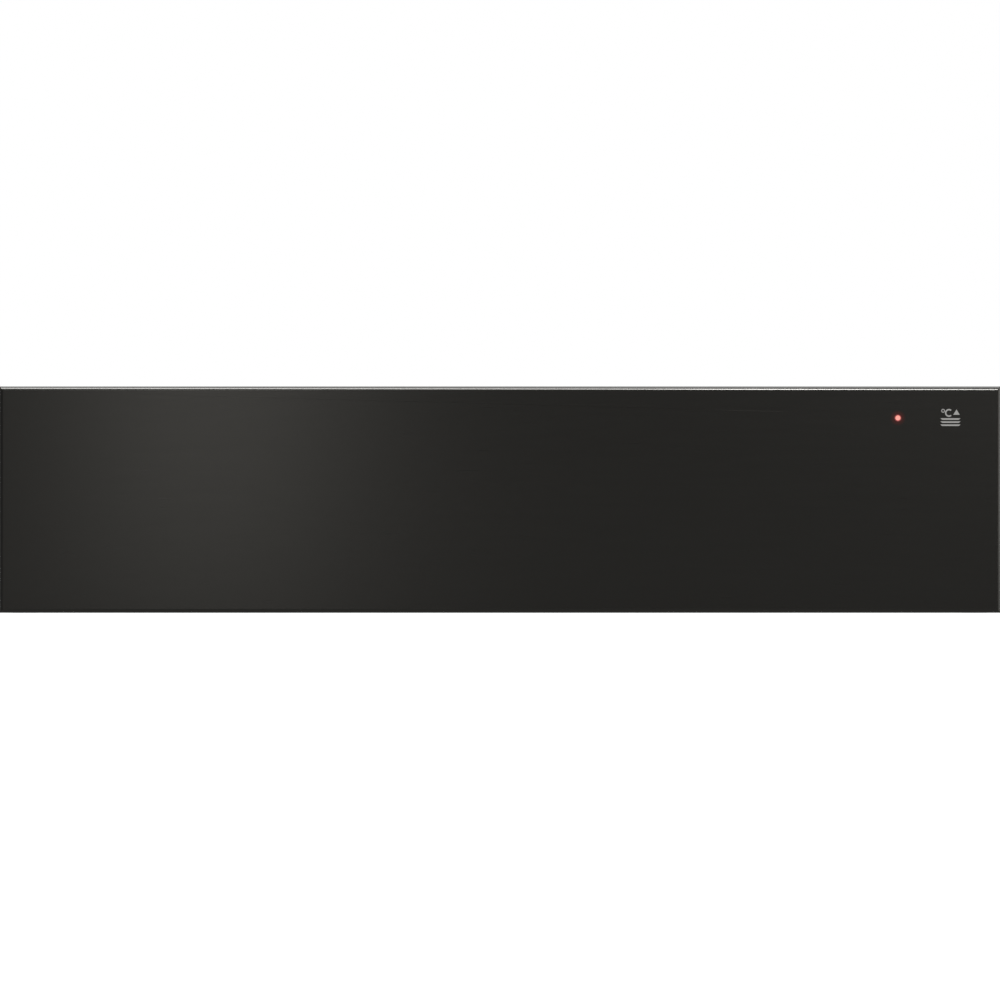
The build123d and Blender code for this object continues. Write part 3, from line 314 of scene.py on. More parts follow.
@dataclass(frozen=True)
class GraphiteSteel:
    """Dark coated steel, satin and finely brushed, smoother along its upper bend, where a lighter colour is
    painted highlight, and painted with a red glow round the light.
    """

    name: str
    light: Point
    colour: Colour = (0.0158, 0.0153, 0.0141)
    # painted highlight: a lighter colour on the upper bend, which makes the edge lights' line there brighter
    bend_highlight_colour: Colour = (0.080, 0.079, 0.076)
    # painted glow: red emission on the steel round the light, strongest near it
    painted_glow_colour: Colour = (0.045, 0.001, 0.0)
    roughness: float = 0.29
    swing: float = 0.03
    bend_roughness: float = 0.10
    lines: float = 1600.0
    depth: float = 0.003 * MM
    cloud: float = 0.03
    cloud_scale: float = 9.0
    bend_start: float = -0.08  # product of the normal's Y and Z
    bend_end: float = -0.35
    painted_glow_reach: float = 4.8 * MM
    painted_glow_core: float = 0.3  # share of the painted glow's reach at its full strength

    def upper_bend(self, graph: Graph) -> Socket:
        """Find where the sheet turns from the front to the top.

        Args:
            graph: the material's nodes.

        Returns:
            A socket that is 1 on the upper bend and 0 on flat sheet.
        """
        facing = graph.split(graph.add("ShaderNodeNewGeometry").outputs["Normal"])
        product_yz = graph.add("ShaderNodeMath", {0: facing["Y"], 1: facing["Z"]}, operation="MULTIPLY")
        return graph.spread(product_yz.outputs["Value"], 1.0, 0.0, (self.bend_end, self.bend_start))

    def material(self) -> bpy.types.Material:
        """Make the material.

        Returns:
            The finished material.
        """
        graph = Graph(self.name, Metallic=1.0, Emission_Strength=1.0)
        graph.set(Anisotropic=0.35, Anisotropic_Rotation=0.25)
        fine = graph.noise(Grain.ALONG_X.lines(self.lines))
        broad = graph.noise(self.cloud_scale)
        bend = self.upper_bend(graph)
        sheet = graph.shades(broad, self.colour, 1 - self.cloud, 1 + self.cloud)
        satin = graph.spread(fine, self.roughness - self.swing, self.roughness + self.swing)
        # painted glow: the steel emits red round the light, fading out to the glow's reach
        glow = graph.spread(graph.away(self.light, self.painted_glow_reach), 1.0, 0.0, (self.painted_glow_core, 1.0))
        graph.set(
            # painted highlight: the upper bend takes the lighter colour, so the edge lights' line on it shows
            # brighter
            Base_Color=graph.mix("RGBA", bend, sheet, self.bend_highlight_colour),
            Roughness=graph.mix("FLOAT", bend, satin, self.bend_roughness),
            Emission_Color=graph.ramp(glow, ((0.0, BLACK), (1.0, self.painted_glow_colour))),
        )
        graph.bump(fine, self.depth)
        return graph.material


@dataclass(frozen=True)
class ZincSheet:
    """Hot-dip galvanised sheet with its spangle."""

    name: str
    colour: Colour = (0.50, 0.52, 0.53)
    spangle: float = 125.0
    contrast: float = 0.09
    roughness: Pair = (0.30, 0.46)
    relief: float = 0.03 * MM
    grain: float = 900.0
    depth: float = 0.006 * MM

    def material(self) -> bpy.types.Material:
        """Make the material.

        Returns:
            The finished material.
        """
        graph = Graph(self.name, Metallic=1.0)
        inputs = {"Scale": 1.0, "Vector": graph.place(self.spangle)}
        cells = graph.add("ShaderNodeTexVoronoi", inputs).outputs["Color"]
        graph.set(
            Base_Color=graph.shades(cells, self.colour, 1 - self.contrast, 1 + self.contrast),
            Roughness=graph.spread(cells, *self.roughness),
        )
        graph.bump(cells, self.relief)
        graph.bump(graph.noise(self.grain), self.depth)
        return graph.material


@dataclass(frozen=True)
class Moulded:
    """Moulded plastic or silicone with a fine eroded grain."""

    name: str
    colour: Colour
    roughness: float = 0.5
    swing: float = 0.07
    grain: float = 2200.0
    depth: float = 0.01 * MM
    sheen: float = 0.0
    mottle: float = 0.05
    mottle_scale: float = 40.0

    def material(self) -> bpy.types.Material:
        """Make the material.

        Returns:
            The finished material.
        """
        graph = Graph(self.name, Sheen_Weight=self.sheen)
        fine = graph.noise(self.grain, detail=3.0)
        broad = graph.noise(self.mottle_scale)
        graph.set(
            Base_Color=graph.shades(broad, self.colour, 1 - self.mottle, 1 + self.mottle),
            Roughness=graph.spread(fine, self.roughness - self.swing, self.roughness + self.swing),
        )
        graph.bump(fine, self.depth)
        return graph.material


@dataclass(frozen=True)
class Fibres:
    """Mineral wool: matted fibres with clumps."""

    name: str
    colour: Colour
    strands: Size = (160.0, 900.0, 900.0)
    strand_height: float = 0.6 * MM
    clumps: float = 55.0
    clump_height: float = 1.5 * MM
    dark: float = 0.62
    light: float = 1.15

    def material(self) -> bpy.types.Material:
        """Make the material.

        Returns:
            The finished material.
        """
        graph = Graph(self.name, Roughness=0.95, Sheen_Weight=0.4, Sheen_Roughness=0.6)
        strands = graph.noise(self.strands, detail=6.0, rough=0.75)
        graph.set(Base_Color=graph.shades(strands, self.colour, self.dark, self.light))
        graph.bump(strands, self.strand_height)
        graph.bump(graph.noise(self.clumps, detail=3.0), self.clump_height, 0.6)
        return graph.material


@dataclass(frozen=True)
class Layered:
    """A stack or winding: parallel bands of one colour with dark lines between them."""

    name: str
    colour: Colour
    pitch: float
    across: str = "Y"
    roughness: float = 0.42
    dark: float = 0.55
    light: float = 1.05
    wave_turn: float = 20.0  # radians that a wave texture turns in one unit

    def material(self) -> bpy.types.Material:
        """Make the material.

        Returns:
            The finished material.
        """
        graph = Graph(self.name, Metallic=1.0, Roughness=self.roughness)
        place = graph.place(FULL_TURN / (self.wave_turn * self.pitch))
        inputs = {"Scale": 1.0, "Distortion": 0.1, "Vector": place}
        bands = graph.add("ShaderNodeTexWave", inputs, bands_direction=self.across).outputs["Fac"]
        graph.set(Base_Color=graph.shades(bands, self.colour, self.dark, self.light))
        graph.bump(bands, self.pitch / 4)
        return graph.material


@dataclass(frozen=True)
class Laminate:
    """A printed circuit board: solder mask over faint copper tracks, and components of other colours on it.

    The components stand past `step` along `axis`, and take their colours from `parts`, by their place
    along X between `ends`.
    """

    name: str
    axis: str
    step: Pair
    ends: Pair
    parts: tuple[tuple[float, Colour], ...]
    mask: Colour = (0.012, 0.085, 0.038)
    track: Colour = (0.04, 0.17, 0.07)
    track_scale: Size = (260.0, 330.0, 290.0)

    def material(self) -> bpy.types.Material:
        """Make the material.

        Returns:
            The finished material.
        """
        graph = Graph(self.name, Roughness=0.32, Specular_IOR_Level=0.5, Coat_Weight=0.3, Coat_Roughness=0.2)
        inputs = {"Color1": self.mask, "Color2": tinted(self.mask, 1.3), "Mortar": self.track}
        inputs |= {"Scale": 1.0, "Mortar Size": 0.06, "Vector": graph.place(self.track_scale)}
        board = graph.add("ShaderNodeTexBrick", inputs).outputs["Color"]
        place = graph.split(graph.here())
        parts = graph.ramp(graph.spread(place["X"], 0.0, 1.0, self.ends), self.parts, "CONSTANT")
        raised = graph.spread(place[self.axis], 0.0, 1.0, self.step)
        graph.set(Base_Color=graph.mix("RGBA", raised, board, parts))
        return graph.material


@dataclass(frozen=True)
class Glow:
    """A lit lens: a bright core that falls off to a deep red rim."""

    name: str
    middle: Point
    radius: float
    body: Colour = (0.10, 0.005, 0.005)
    core: Colour = (1.0, 0.385, 0.315)
    rim: Colour = (0.42, 0.09, 0.075)
    edge: Colour = (0.040, 0.003, 0.002)
    reaches: tuple[float, ...] = (0.55, 0.76, 0.82)  # shares of the radius where the colours stand

    def material(self) -> bpy.types.Material:
        """Make the material.

        Returns:
            The finished material.
        """
        graph = Graph(self.name, Roughness=0.35, Base_Color=self.body, Emission_Strength=1.0)
        stops = tuple(zip(self.reaches, (self.core, self.rim, self.edge)))
        graph.set(Emission_Color=graph.ramp(graph.away(self.middle, self.radius), stops, "EASE"))
        return graph.material


Finish = BrushedMetal | GraphiteSteel | ZincSheet | Moulded | Fibres | Layered | Laminate | Glow


@cache
def material_of(finish: Finish) -> bpy.types.Material:
    """The one material of a finish, made when it is first asked for."""
    return finish.material()


GALVANISED = ZincSheet("galvanised_sheet")
TRAY_STEEL = BrushedMetal("brushed_stainless", (0.56, 0.55, 0.53), roughness=0.27, lines=1800.0)
ZINC_PLATE = BrushedMetal(
    "zinc_plate", (0.60, 0.62, 0.64), roughness=0.27, grain=Grain.ALONG_Y, lines=900.0, anisotropy=0.3
)
CAGE_PLATE = BrushedMetal(
    "cage_plate", (0.66, 0.62, 0.52), roughness=0.22, grain=Grain.ALONG_Y, lines=700.0, anisotropy=0.2
)
SCREW_PLATE = BrushedMetal("screw_plate", (0.63, 0.64, 0.66), roughness=0.24, lines=900.0, anisotropy=0.1)
FAN_SHEET = BrushedMetal(
    "aluminised_fan_sheet", (0.64, 0.65, 0.66), roughness=0.33, lines=500.0, anisotropy=0.2
)
HEATER_SHEATH = BrushedMetal(
    "annealed_heater_sheath", (0.20, 0.17, 0.14), roughness=0.45, lines=600.0, cloud=0.35, anisotropy=0.1
)
COPPER_PAD = BrushedMetal("touch_pad_copper", (0.80, 0.42, 0.24), roughness=0.25, lines=800.0)
IRON_STACK = Layered("laminated_iron", (0.32, 0.32, 0.33), pitch=0.8 * MM)
COPPER_WINDING = Layered("enamelled_winding", (0.62, 0.26, 0.12), pitch=0.9 * MM, across="X", roughness=0.3)
BLACK_PLASTIC = Moulded("black_plastic", (0.022, 0.022, 0.024), roughness=0.48)
LATCH_PLASTIC = Moulded("grey_acetal", (0.16, 0.165, 0.17), roughness=0.38)
WHITE_PLASTIC = Moulded("ivory_polyamide", (0.72, 0.70, 0.65), roughness=0.45)
TIE_PLASTIC = Moulded("tie_plastic", (0.60, 0.59, 0.55), roughness=0.35)
MAT_RUBBER = Moulded("mat_silicone", (0.045, 0.046, 0.049), roughness=0.62, sheen=0.15, grain=1500.0)
SEAL_RUBBER = Moulded("seal_silicone", (0.14, 0.142, 0.145), roughness=0.55, sheen=0.1)
SHEATH = Moulded("cable_sheath", (0.035, 0.035, 0.037), roughness=0.45, grain=3000.0)
SYMBOL_INK = Moulded("symbol_ink", (0.285, 0.28, 0.27), roughness=0.6, depth=0.002 * MM, mottle=0.02)
WOOL = Fibres("mineral_wool", (0.62, 0.58, 0.46))
WIRES = tuple(
    Moulded(f"wire_{name}", colour, roughness=0.4, mottle=0.03)
    for name, colour in (
        ("black", (0.02, 0.02, 0.021)),
        ("blue", (0.03, 0.10, 0.42)),
        ("brown", (0.13, 0.045, 0.02)),
        ("white", (0.70, 0.69, 0.66)),
        ("red", (0.45, 0.02, 0.02)),
        ("grey", (0.22, 0.22, 0.22)),
    )
)


def dress(finish: Finish, *nodes: str) -> None:
    """Give carried-over CAD nodes a finish.

    Args:
        finish: the finish.
        nodes: the nodes' names.
    """
    for name in nodes:
        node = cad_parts[name]
        if not node.material_slots:
            node.data.materials.append(None)
        for holder in node.material_slots:
            holder.material = material_of(finish)
        LOG.info("dressed %s in %s", name, finish.name)


# ---------- meshes
def middle_of(node: str) -> Vector:
    """The middle of a node's box."""
    low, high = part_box(node)
    return (low + high) / 2


def put(name: str, data: bpy.types.ID) -> bpy.types.Object:
    """Put a new object in the scene.

    Args:
        name: the object's name.
        data: its mesh, curve, light or camera.

    Returns:
        The new object.
    """
    thing = bpy.data.objects.new(name, data)
    bpy.context.scene.collection.objects.link(thing)
    return thing


def grid_faces(rows: int, columns: int, closed_rows: bool, closed_columns: bool) -> list[tuple[int, ...]]:
    """Faces of a grid of vertices that was written row by row.

    Args:
        rows: number of rows.
        columns: vertices in each row.
        closed_rows: whether the last row joins the first.
        closed_columns: whether each row's end joins its start.

    Returns:
        The quads.
    """
    faces = []
    for row in range(rows if closed_rows else rows - 1):
        this, after = row * columns, (row + 1) % rows * columns
        for column in range(columns if closed_columns else columns - 1):
            beside = (column + 1) % columns
            faces.append((this + column, this + beside, after + beside, after + column))
    return faces


class Skin:
    """The points and faces of a piece while it is put together."""

    def __init__(self) -> None:
        """Start with no points and no faces."""
        self.points: list[Sequence[float]] = []
        self.faces: list[Sequence[int]] = []

    def add(self, points: Sequence[Sequence[float]], faces: Iterable[Sequence[int]]) -> None:
        """Add points and faces.

        Args:
            points: the points, in metres.
            faces: point numbers of each face, counted from the first of these points.
        """
        start = len(self.points)
        self.points += points
        self.faces += [tuple(start + k for k in face) for face in faces]

    def wrap(self, rings: Sequence[Sequence[Point]], closed: bool = False, foot: bool = True) -> "Skin":
        """Stretch a skin over rings, and fill both its ends.

        Args:
            rings: the rings, with as many points each.
            closed: whether the last ring joins the first, so that there are no ends.
            foot: whether the first ring is filled.

        Returns:
            The skin itself.
        """
        sides, count = len(rings[0]), len(rings)
        faces = grid_faces(count, sides, closed, True)
        if not closed:
            faces += [tuple(range(sides))] if foot else []
            faces.append(tuple(range((count - 1) * sides, count * sides)))
        self.add([point for ring_points in rings for point in ring_points], faces)
        return self

    def piece(self, name: str, finish: Finish, turn: float | None = None) -> bpy.types.Object:
        """Make an object of the skin, with its normals turned outward.

        Args:
            name: the object's name.
            finish: the piece's finish.
            turn: degrees between faces above which their edge is sharp, or None for a faceted piece.

        Returns:
            The new object.
        """
        mesh = bpy.data.meshes.new(name)
        mesh.from_pydata([tuple(point) for point in self.points], [], self.faces)
        work = bmesh.new()
        work.from_mesh(mesh)
        bmesh.ops.recalc_face_normals(work, faces=work.faces)
        work.to_mesh(mesh)
        work.free()
        if turn is not None:
            mesh.shade_smooth()
            mesh.set_sharp_from_angle(angle=math.radians(turn))
        mesh.materials.append(material_of(finish))
        return put(name, mesh)


def settle(piece: bpy.types.Object, body: Body, slot: Slot, *nodes: str) -> None:
    """Tie a piece to its body, and hide the CAD nodes that it stands for.

    Args:
        piece: the object.
        body: the body it rides on.
        slot: the record's material slot; not used.
        nodes: CAD nodes that it replaces.
    """
    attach(piece, body.value)
    if nodes:
        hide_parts(*nodes)
    LOG.info("built %s on %s", piece.name, body.value)


def ring(middle: Vector, across: tuple[Vector, Vector], radius: Radius, sides: int) -> list[Vector]:
    """Points evenly round a middle.

    Args:
        middle: the ring's middle.
        across: the two directions at right angles that it lies along.
        radius: its radius, or a function of the turn in radians.
        sides: how many points.

    Returns:
        The points.
    """
    points = []
    for turn in (FULL_TURN * k / sides for k in range(sides)):
        reach = radius(turn) if callable(radius) else radius
        points.append(middle + reach * (math.cos(turn) * across[0] + math.sin(turn) * across[1]))
    return points


def rounded(
    low: Sequence[float], high: Sequence[float], corner: float, steps: int
) -> list[tuple[Vector, Vector]]:
    """A flat rectangle with rounded corners.

    Args:
        low: its lowest corner, in its own plane.
        high: its highest corner.
        corner: radius of the rounding.
        steps: divisions of each corner.

    Returns:
        The stations round it, each with the outward direction there.
    """
    left, bottom, right, top = low[0] + corner, low[1] + corner, high[0] - corner, high[1] - corner
    stations = []
    for quarter, centre in enumerate(((right, top), (left, top), (left, bottom), (right, bottom))):
        for i in range(steps + 1):
            turn = FULL_TURN / 4 * (quarter + i / steps)
            out = Vector((math.cos(turn), math.sin(turn)))
            stations.append((Vector(centre) + corner * out, out))
    return stations


def path_frames(path: Sequence[Vector]) -> list[tuple[Vector, Vector, Vector]]:
    """A point, a side and an up direction at each point of a path, turned as little as possible.

    Args:
        path: the path's points.

    Returns:
        One (point, side, up) for each point.
    """
    last = len(path) - 1
    tangents = [(path[min(last, i + 1)] - path[max(0, i - 1)]).normalized() for i in range(last + 1)]
    up = AXES[0] if abs(tangents[0].z) > STEEP else AXES[2]
    frames = []
    for point, tangent in zip(path, tangents):
        side = tangent.cross(up).normalized()
        up = side.cross(tangent).normalized()
        frames.append((point, side, up))
    return frames


def tube(
    name: str, path: Sequence[Vector], radius: float, finish: Finish, sides: int = 16
) -> bpy.types.Object:
    """A round tube along a path, with flat ends."""
    rings = [ring(point, (side, up), radius, sides) for point, side, up in path_frames(path)]
    return Skin().wrap(rings).piece(name, finish, 60)


def smooth_line(route: Sequence[Point], steps: int) -> list[Vector]:
    """Points of the smooth curve that has a route as its control points.

    Args:
        route: control points, in metres.
        steps: divisions of each span.

    Returns:
        The points along the curve.
    """
    curve = bpy.data.curves.new("route", "CURVE")
    curve.dimensions = "3D"
    spline = curve.splines.new("NURBS")
    spline.points.add(len(route) - 1)
    for target, point in zip(spline.points, route):
        target.co = (*point, 1.0)
    spline.order_u = 3
    spline.use_endpoint_u = True
    spline.resolution_u = steps
    holder = put("route", curve)
    mesh = bpy.data.meshes.new_from_object(holder)
    line = [vertex.co.copy() for vertex in mesh.vertices]
    bpy.data.objects.remove(holder)
    bpy.data.meshes.remove(mesh)
    bpy.data.curves.remove(curve)
    return line


def line_length(line: Sequence[Vector]) -> float:
    """Length of a line of points."""
    return sum((b - a).length for a, b in zip(line, line[1:]))


# ---------- studio
@dataclass(frozen=True)
class SoftBox:
    """A rectangular soft light between two points, which are given from the front's face at floor level.

    Its radiance is how bright it looks, where white paper in this room is 1. An edge light only reaches
    the front panel, where it draws the bright line along the bend.
    """

    name: str
    start: Point
    end: Point
    depth: float
    radiance: float
    aim_z: float = 0.07
    edge: bool = False

    def build(self, face: Vector, reach: bpy.types.Collection) -> None:
        """Add the light.

        Args:
            face: the front's face at floor level.
            reach: what an edge light shines on.
        """
        start, end = face + Vector(self.start), face + Vector(self.end)
        middle = (start + end) / 2
        along = (end - start).normalized()
        back = (middle - face - self.aim_z * AXES[2]).normalized()
        back = (back - back.dot(along) * along).normalized()
        data = bpy.data.lights.new(self.name, "AREA")
        data.shape = "RECTANGLE"
        data.size, data.size_y = (end - start).length, self.depth
        data.energy = self.radiance * math.pi * data.size * data.size_y
        lamp = put(self.name, data)
        turned = Matrix((along, back.cross(along), back)).transposed()
        lamp.matrix_world = Matrix.Translation(middle) @ turned.to_4x4()
        if self.edge:
            lamp.light_linking.receiver_collection = reach


@dataclass
class Studio:
    """Camera, soft lights and the pale floor."""

    face_y: float
    photo_centre_z: float = 0.0678
    photo_width: float = 0.5958
    lens: float = 200.0
    sensor: float = 36.0
    floor_width: float = 12.0
    floor_gap: float = 0.2 * MM
    floor_grain: float = 30.0
    floor_relief: float = 0.2 * MM
    room_light: Pair = (0.40, 1.3)  # from the sides and from above
    room_heights: Pair = (0.25, 0.90)  # where the light starts and ends to rise
    top_z: float = 0.134
    far: float = 20.0

    def camera(self) -> None:
        """Place the camera straight before the front, so that the front spans the picture."""
        data = bpy.data.cameras.new("camera")
        data.lens = self.lens
        data.sensor_width = self.sensor
        data.clip_end = self.far
        camera = put("camera", data)
        distance = self.photo_width * self.lens / self.sensor
        camera.location = (0.0, self.face_y - distance, self.photo_centre_z)
        camera.rotation_euler = (math.pi / 2, 0.0, 0.0)
        bpy.context.scene.camera = camera

    def floor(self) -> None:
        """Lay a large pale floor, lit so evenly that it stays white under the drawer."""
        graph = Graph("pale_floor", Roughness=0.9, Base_Color=(0.3, 0.3, 0.3))
        graph.set(Emission_Color=WHITE, Emission_Strength=1.0)
        graph.bump(graph.noise(self.floor_grain, detail=3.0), self.floor_relief)
        half = self.floor_width / 2
        mesh = bpy.data.meshes.new("floor")
        corners = [(-half, -half, 0), (half, -half, 0), (half, half, 0), (-half, half, 0)]
        mesh.from_pydata(corners, [], [(0, 1, 2, 3)])
        mesh.materials.append(graph.material)
        floor = put("floor", mesh)
        floor.location.z = -self.floor_gap

    def world(self) -> None:
        """Surround the scene with white, and light it more from above than from the sides."""
        world = bpy.data.worlds.new("white_room")
        world.use_nodes = True
        room = Nodes(world.node_tree)
        height = room.split(room.add("ShaderNodeTexCoord").outputs["Generated"])["Z"]
        level = room.spread(height, *self.room_light, self.room_heights)
        lighting = room.add("ShaderNodeBackground", {"Color": WHITE, "Strength": level})
        seen = room.add("ShaderNodeBackground", {"Color": WHITE, "Strength": 1.0})
        camera_ray = room.add("ShaderNodeLightPath").outputs["Is Camera Ray"]
        shares = {0: camera_ray, 1: lighting.outputs["Background"], 2: seen.outputs["Background"]}
        either = room.add("ShaderNodeMixShader", shares)
        room.add("ShaderNodeOutputWorld", {"Surface": either.outputs["Shader"]})
        bpy.context.scene.world = world
        bpy.context.scene.view_settings.view_transform = "Standard"

    def lamps(self) -> tuple[SoftBox, ...]:
        """The lights, in order.

        Returns:
            A band for the panel's soft glow, four edge lights for its bends, and a light from the right.
        """
        top, right = {"aim_z": self.top_z, "edge": True}, ((1.0, -0.9, 0.05), (1.0, 0.5, 0.05), 0.5)
        return (
            SoftBox("band_light", (-0.228, -1.0, 0.02), (-0.228, -1.0, 0.52), 0.16, 5.3),
            SoftBox("edge_strip", (-0.50, -0.22, 0.935), (0.50, -0.74, 0.500), 0.14, 13.5, **top),
            SoftBox("edge_spot", (0.14, -0.61, 0.600), (0.56, -0.80, 0.425), 0.12, 24.0, **top),
            SoftBox("top_strip", (-0.45, 0.20, 0.91), (0.45, 0.20, 0.91), 0.42, 1.8, **top),
            SoftBox("right_edge", *right, 5.0, edge=True),
            SoftBox("right_wall", *right, 0.5),
        )

    def build(self) -> None:
        """Set the studio up."""
        self.camera()
        self.floor()
        self.world()
        reach = bpy.data.collections.new("lit_edge")
        reach.objects.link(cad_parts["front_panel"])
        for lamp in self.lamps():
            lamp.build(Vector((0.0, self.face_y, 0.0)), reach)
        LOG.info("studio is set")


# ---------- soft and small pieces
@dataclass
class InsulationPad:
    """A mineral wool pad that fills its CAD solid, with a crowned, matted surface."""

    node: str
    body: Body
    thin_axis: int
    cell: float = 8 * MM
    corner: float = 6 * MM
    ruffle: float = 1.1 * MM
    deepest: float = 0.42  # the rounding's share of the thickness, at most
    fewest: int = 4  # cells along a side
    fill: float = 0.7

    def build(self) -> None:
        """Build the pad."""
        low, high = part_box(self.node)
        size = high - low
        wide, long = (axis for axis in range(3) if axis != self.thin_axis)
        rows, columns = (max(self.fewest, round(size[k] / self.cell)) + 1 for k in (wide, long))
        rng = random.Random(len(self.node))
        skin = Skin()
        for face, way in ((low, 1), (high, -1)):
            points = []
            for i, j in product(range(rows), range(columns)):
                u, v = size[wide] * i / (rows - 1), size[long] * j / (columns - 1)
                sunk = max(0.0, self.corner - min(u, size[wide] - u, v, size[long] - v))
                rounding = self.corner - math.sqrt(max(0.0, self.corner**2 - sunk**2))
                inset = min(rounding, self.deepest * size[self.thin_axis]) + self.ruffle * rng.random()
                point = Vector(face)
                point[wide], point[long] = low[wide] + u, low[long] + v
                point[self.thin_axis] += way * inset
                points.append(point)
            skin.add(points, grid_faces(rows, columns, False, False))
        rim = [i * columns for i in range(rows)]
        rim += [(rows - 1) * columns + j for j in range(1, columns)]
        rim += [i * columns + columns - 1 for i in range(rows - 2, -1, -1)]
        rim += range(columns - 2, 0, -1)
        sheet = rows * columns
        skin.faces += [(a, b, sheet + b, sheet + a) for a, b in zip(rim, rim[1:] + rim[:1])]
        pad = skin.piece(f"{self.node}_wool", WOOL, 80)
        settle(pad, self.body, Slot.WOOL, self.node)


@dataclass
class DoorSeal:
    """The hollow silicone seal round the mouth: a flat foot that carries a soft bulb."""

    node: str = "door_seal"
    corner: float = 14 * MM
    width: float = 8 * MM
    foot: float = 1.1 * MM
    bulb_share: float = 0.62  # of the foot's width
    pressed: float = 0.19  # share of the height that is left when the front is pressed in
    corner_steps: int = 10
    bulb_steps: int = 12

    def profile(self, height: float) -> list[Pair]:
        """The seal's section.

        Args:
            height: from the front's back to the top of the bulb.

        Returns:
            (across, out) points, across the seal and out of the front's back.
        """
        half, foot = self.width / 2, self.foot
        edge = [(half, 0.0), (half, 0.6 * foot), (0.86 * half, foot), (0.7 * half, foot)]
        turns = [math.pi * i / self.bulb_steps for i in range(self.bulb_steps + 1)]
        bulb = [
            (-self.bulb_share * half * math.cos(turn), foot + (height - foot) * math.sin(turn) ** 0.8)
            for turn in turns
        ]
        return [(-across, out) for across, out in edge] + bulb + edge[::-1]

    def build(self) -> None:
        """Build the seal."""
        low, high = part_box(self.node)
        outline = self.profile(high.y - low.y)
        half = self.width / 2
        middle_line = rounded(
            (low.x + half, low.z + half), (high.x - half, high.z - half), self.corner, self.corner_steps
        )
        rings = []
        for place, away in middle_line:
            spots = [(place + across * away, low.y + out) for across, out in outline]
            rings.append([(spot.x, y, spot.y) for spot, y in spots])
        seal = Skin().wrap(rings, closed=True).piece("door_seal_bulb", SEAL_RUBBER, 50)
        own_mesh(seal)
        settle(seal, Body.DRAWER, Slot.SEAL, self.node)


@dataclass
class AntiSlipMat:
    """The mat on the tray's floor: a thin sheet with raised round studs."""

    node: str = "anti_slip_mat"
    corner: float = 20 * MM
    sheet: float = 1.3 * MM
    roll: float = 0.4 * MM
    stud_radius: float = 2.4 * MM
    stud_pitch: float = 11.5 * MM
    stud_root: float = 0.1 * MM
    stud_bevel: float = 0.2 * MM
    stud_sides: int = 10
    stud_shares: tuple[float, ...] = (1.0, 0.92, 0.62)  # of its radius, from its root to its top
    margin: float = 7 * MM
    corner_steps: int = 8

    def build(self) -> None:
        """Build the mat."""
        low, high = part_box(self.node)
        top = low.z + self.sheet
        rim = rounded(low.xy, high.xy, self.corner, self.corner_steps)
        levels = ((0.0, low.z), (0.0, top - self.roll), (self.roll, top))
        skin = Skin().wrap([[(*(place - inset * away), z) for place, away in rim] for inset, z in levels])
        columns, rows = (int((span - 2 * self.margin) / self.stud_pitch) for span in (high - low).xy)
        first = middle_of(self.node) - self.stud_pitch / 2 * Vector((columns, rows, 0))
        heights = (top - self.stud_root, high.z - self.stud_bevel, high.z)
        for row, column in product(range(rows + 1), range(columns + 1)):
            x = first.x + self.stud_pitch * (column + row % 2 / 2)
            y = first.y + self.stud_pitch * row
            if x > high.x - self.margin:
                continue
            rings = [
                ring(Vector((x, y, z)), LEVEL, share * self.stud_radius, self.stud_sides)
                for share, z in zip(self.stud_shares, heights)
            ]
            skin.wrap(rings, foot=False)
        mat = skin.piece("anti_slip_mat_studded", MAT_RUBBER, 50)
        settle(mat, Body.DRAWER, Slot.MAT, self.node)


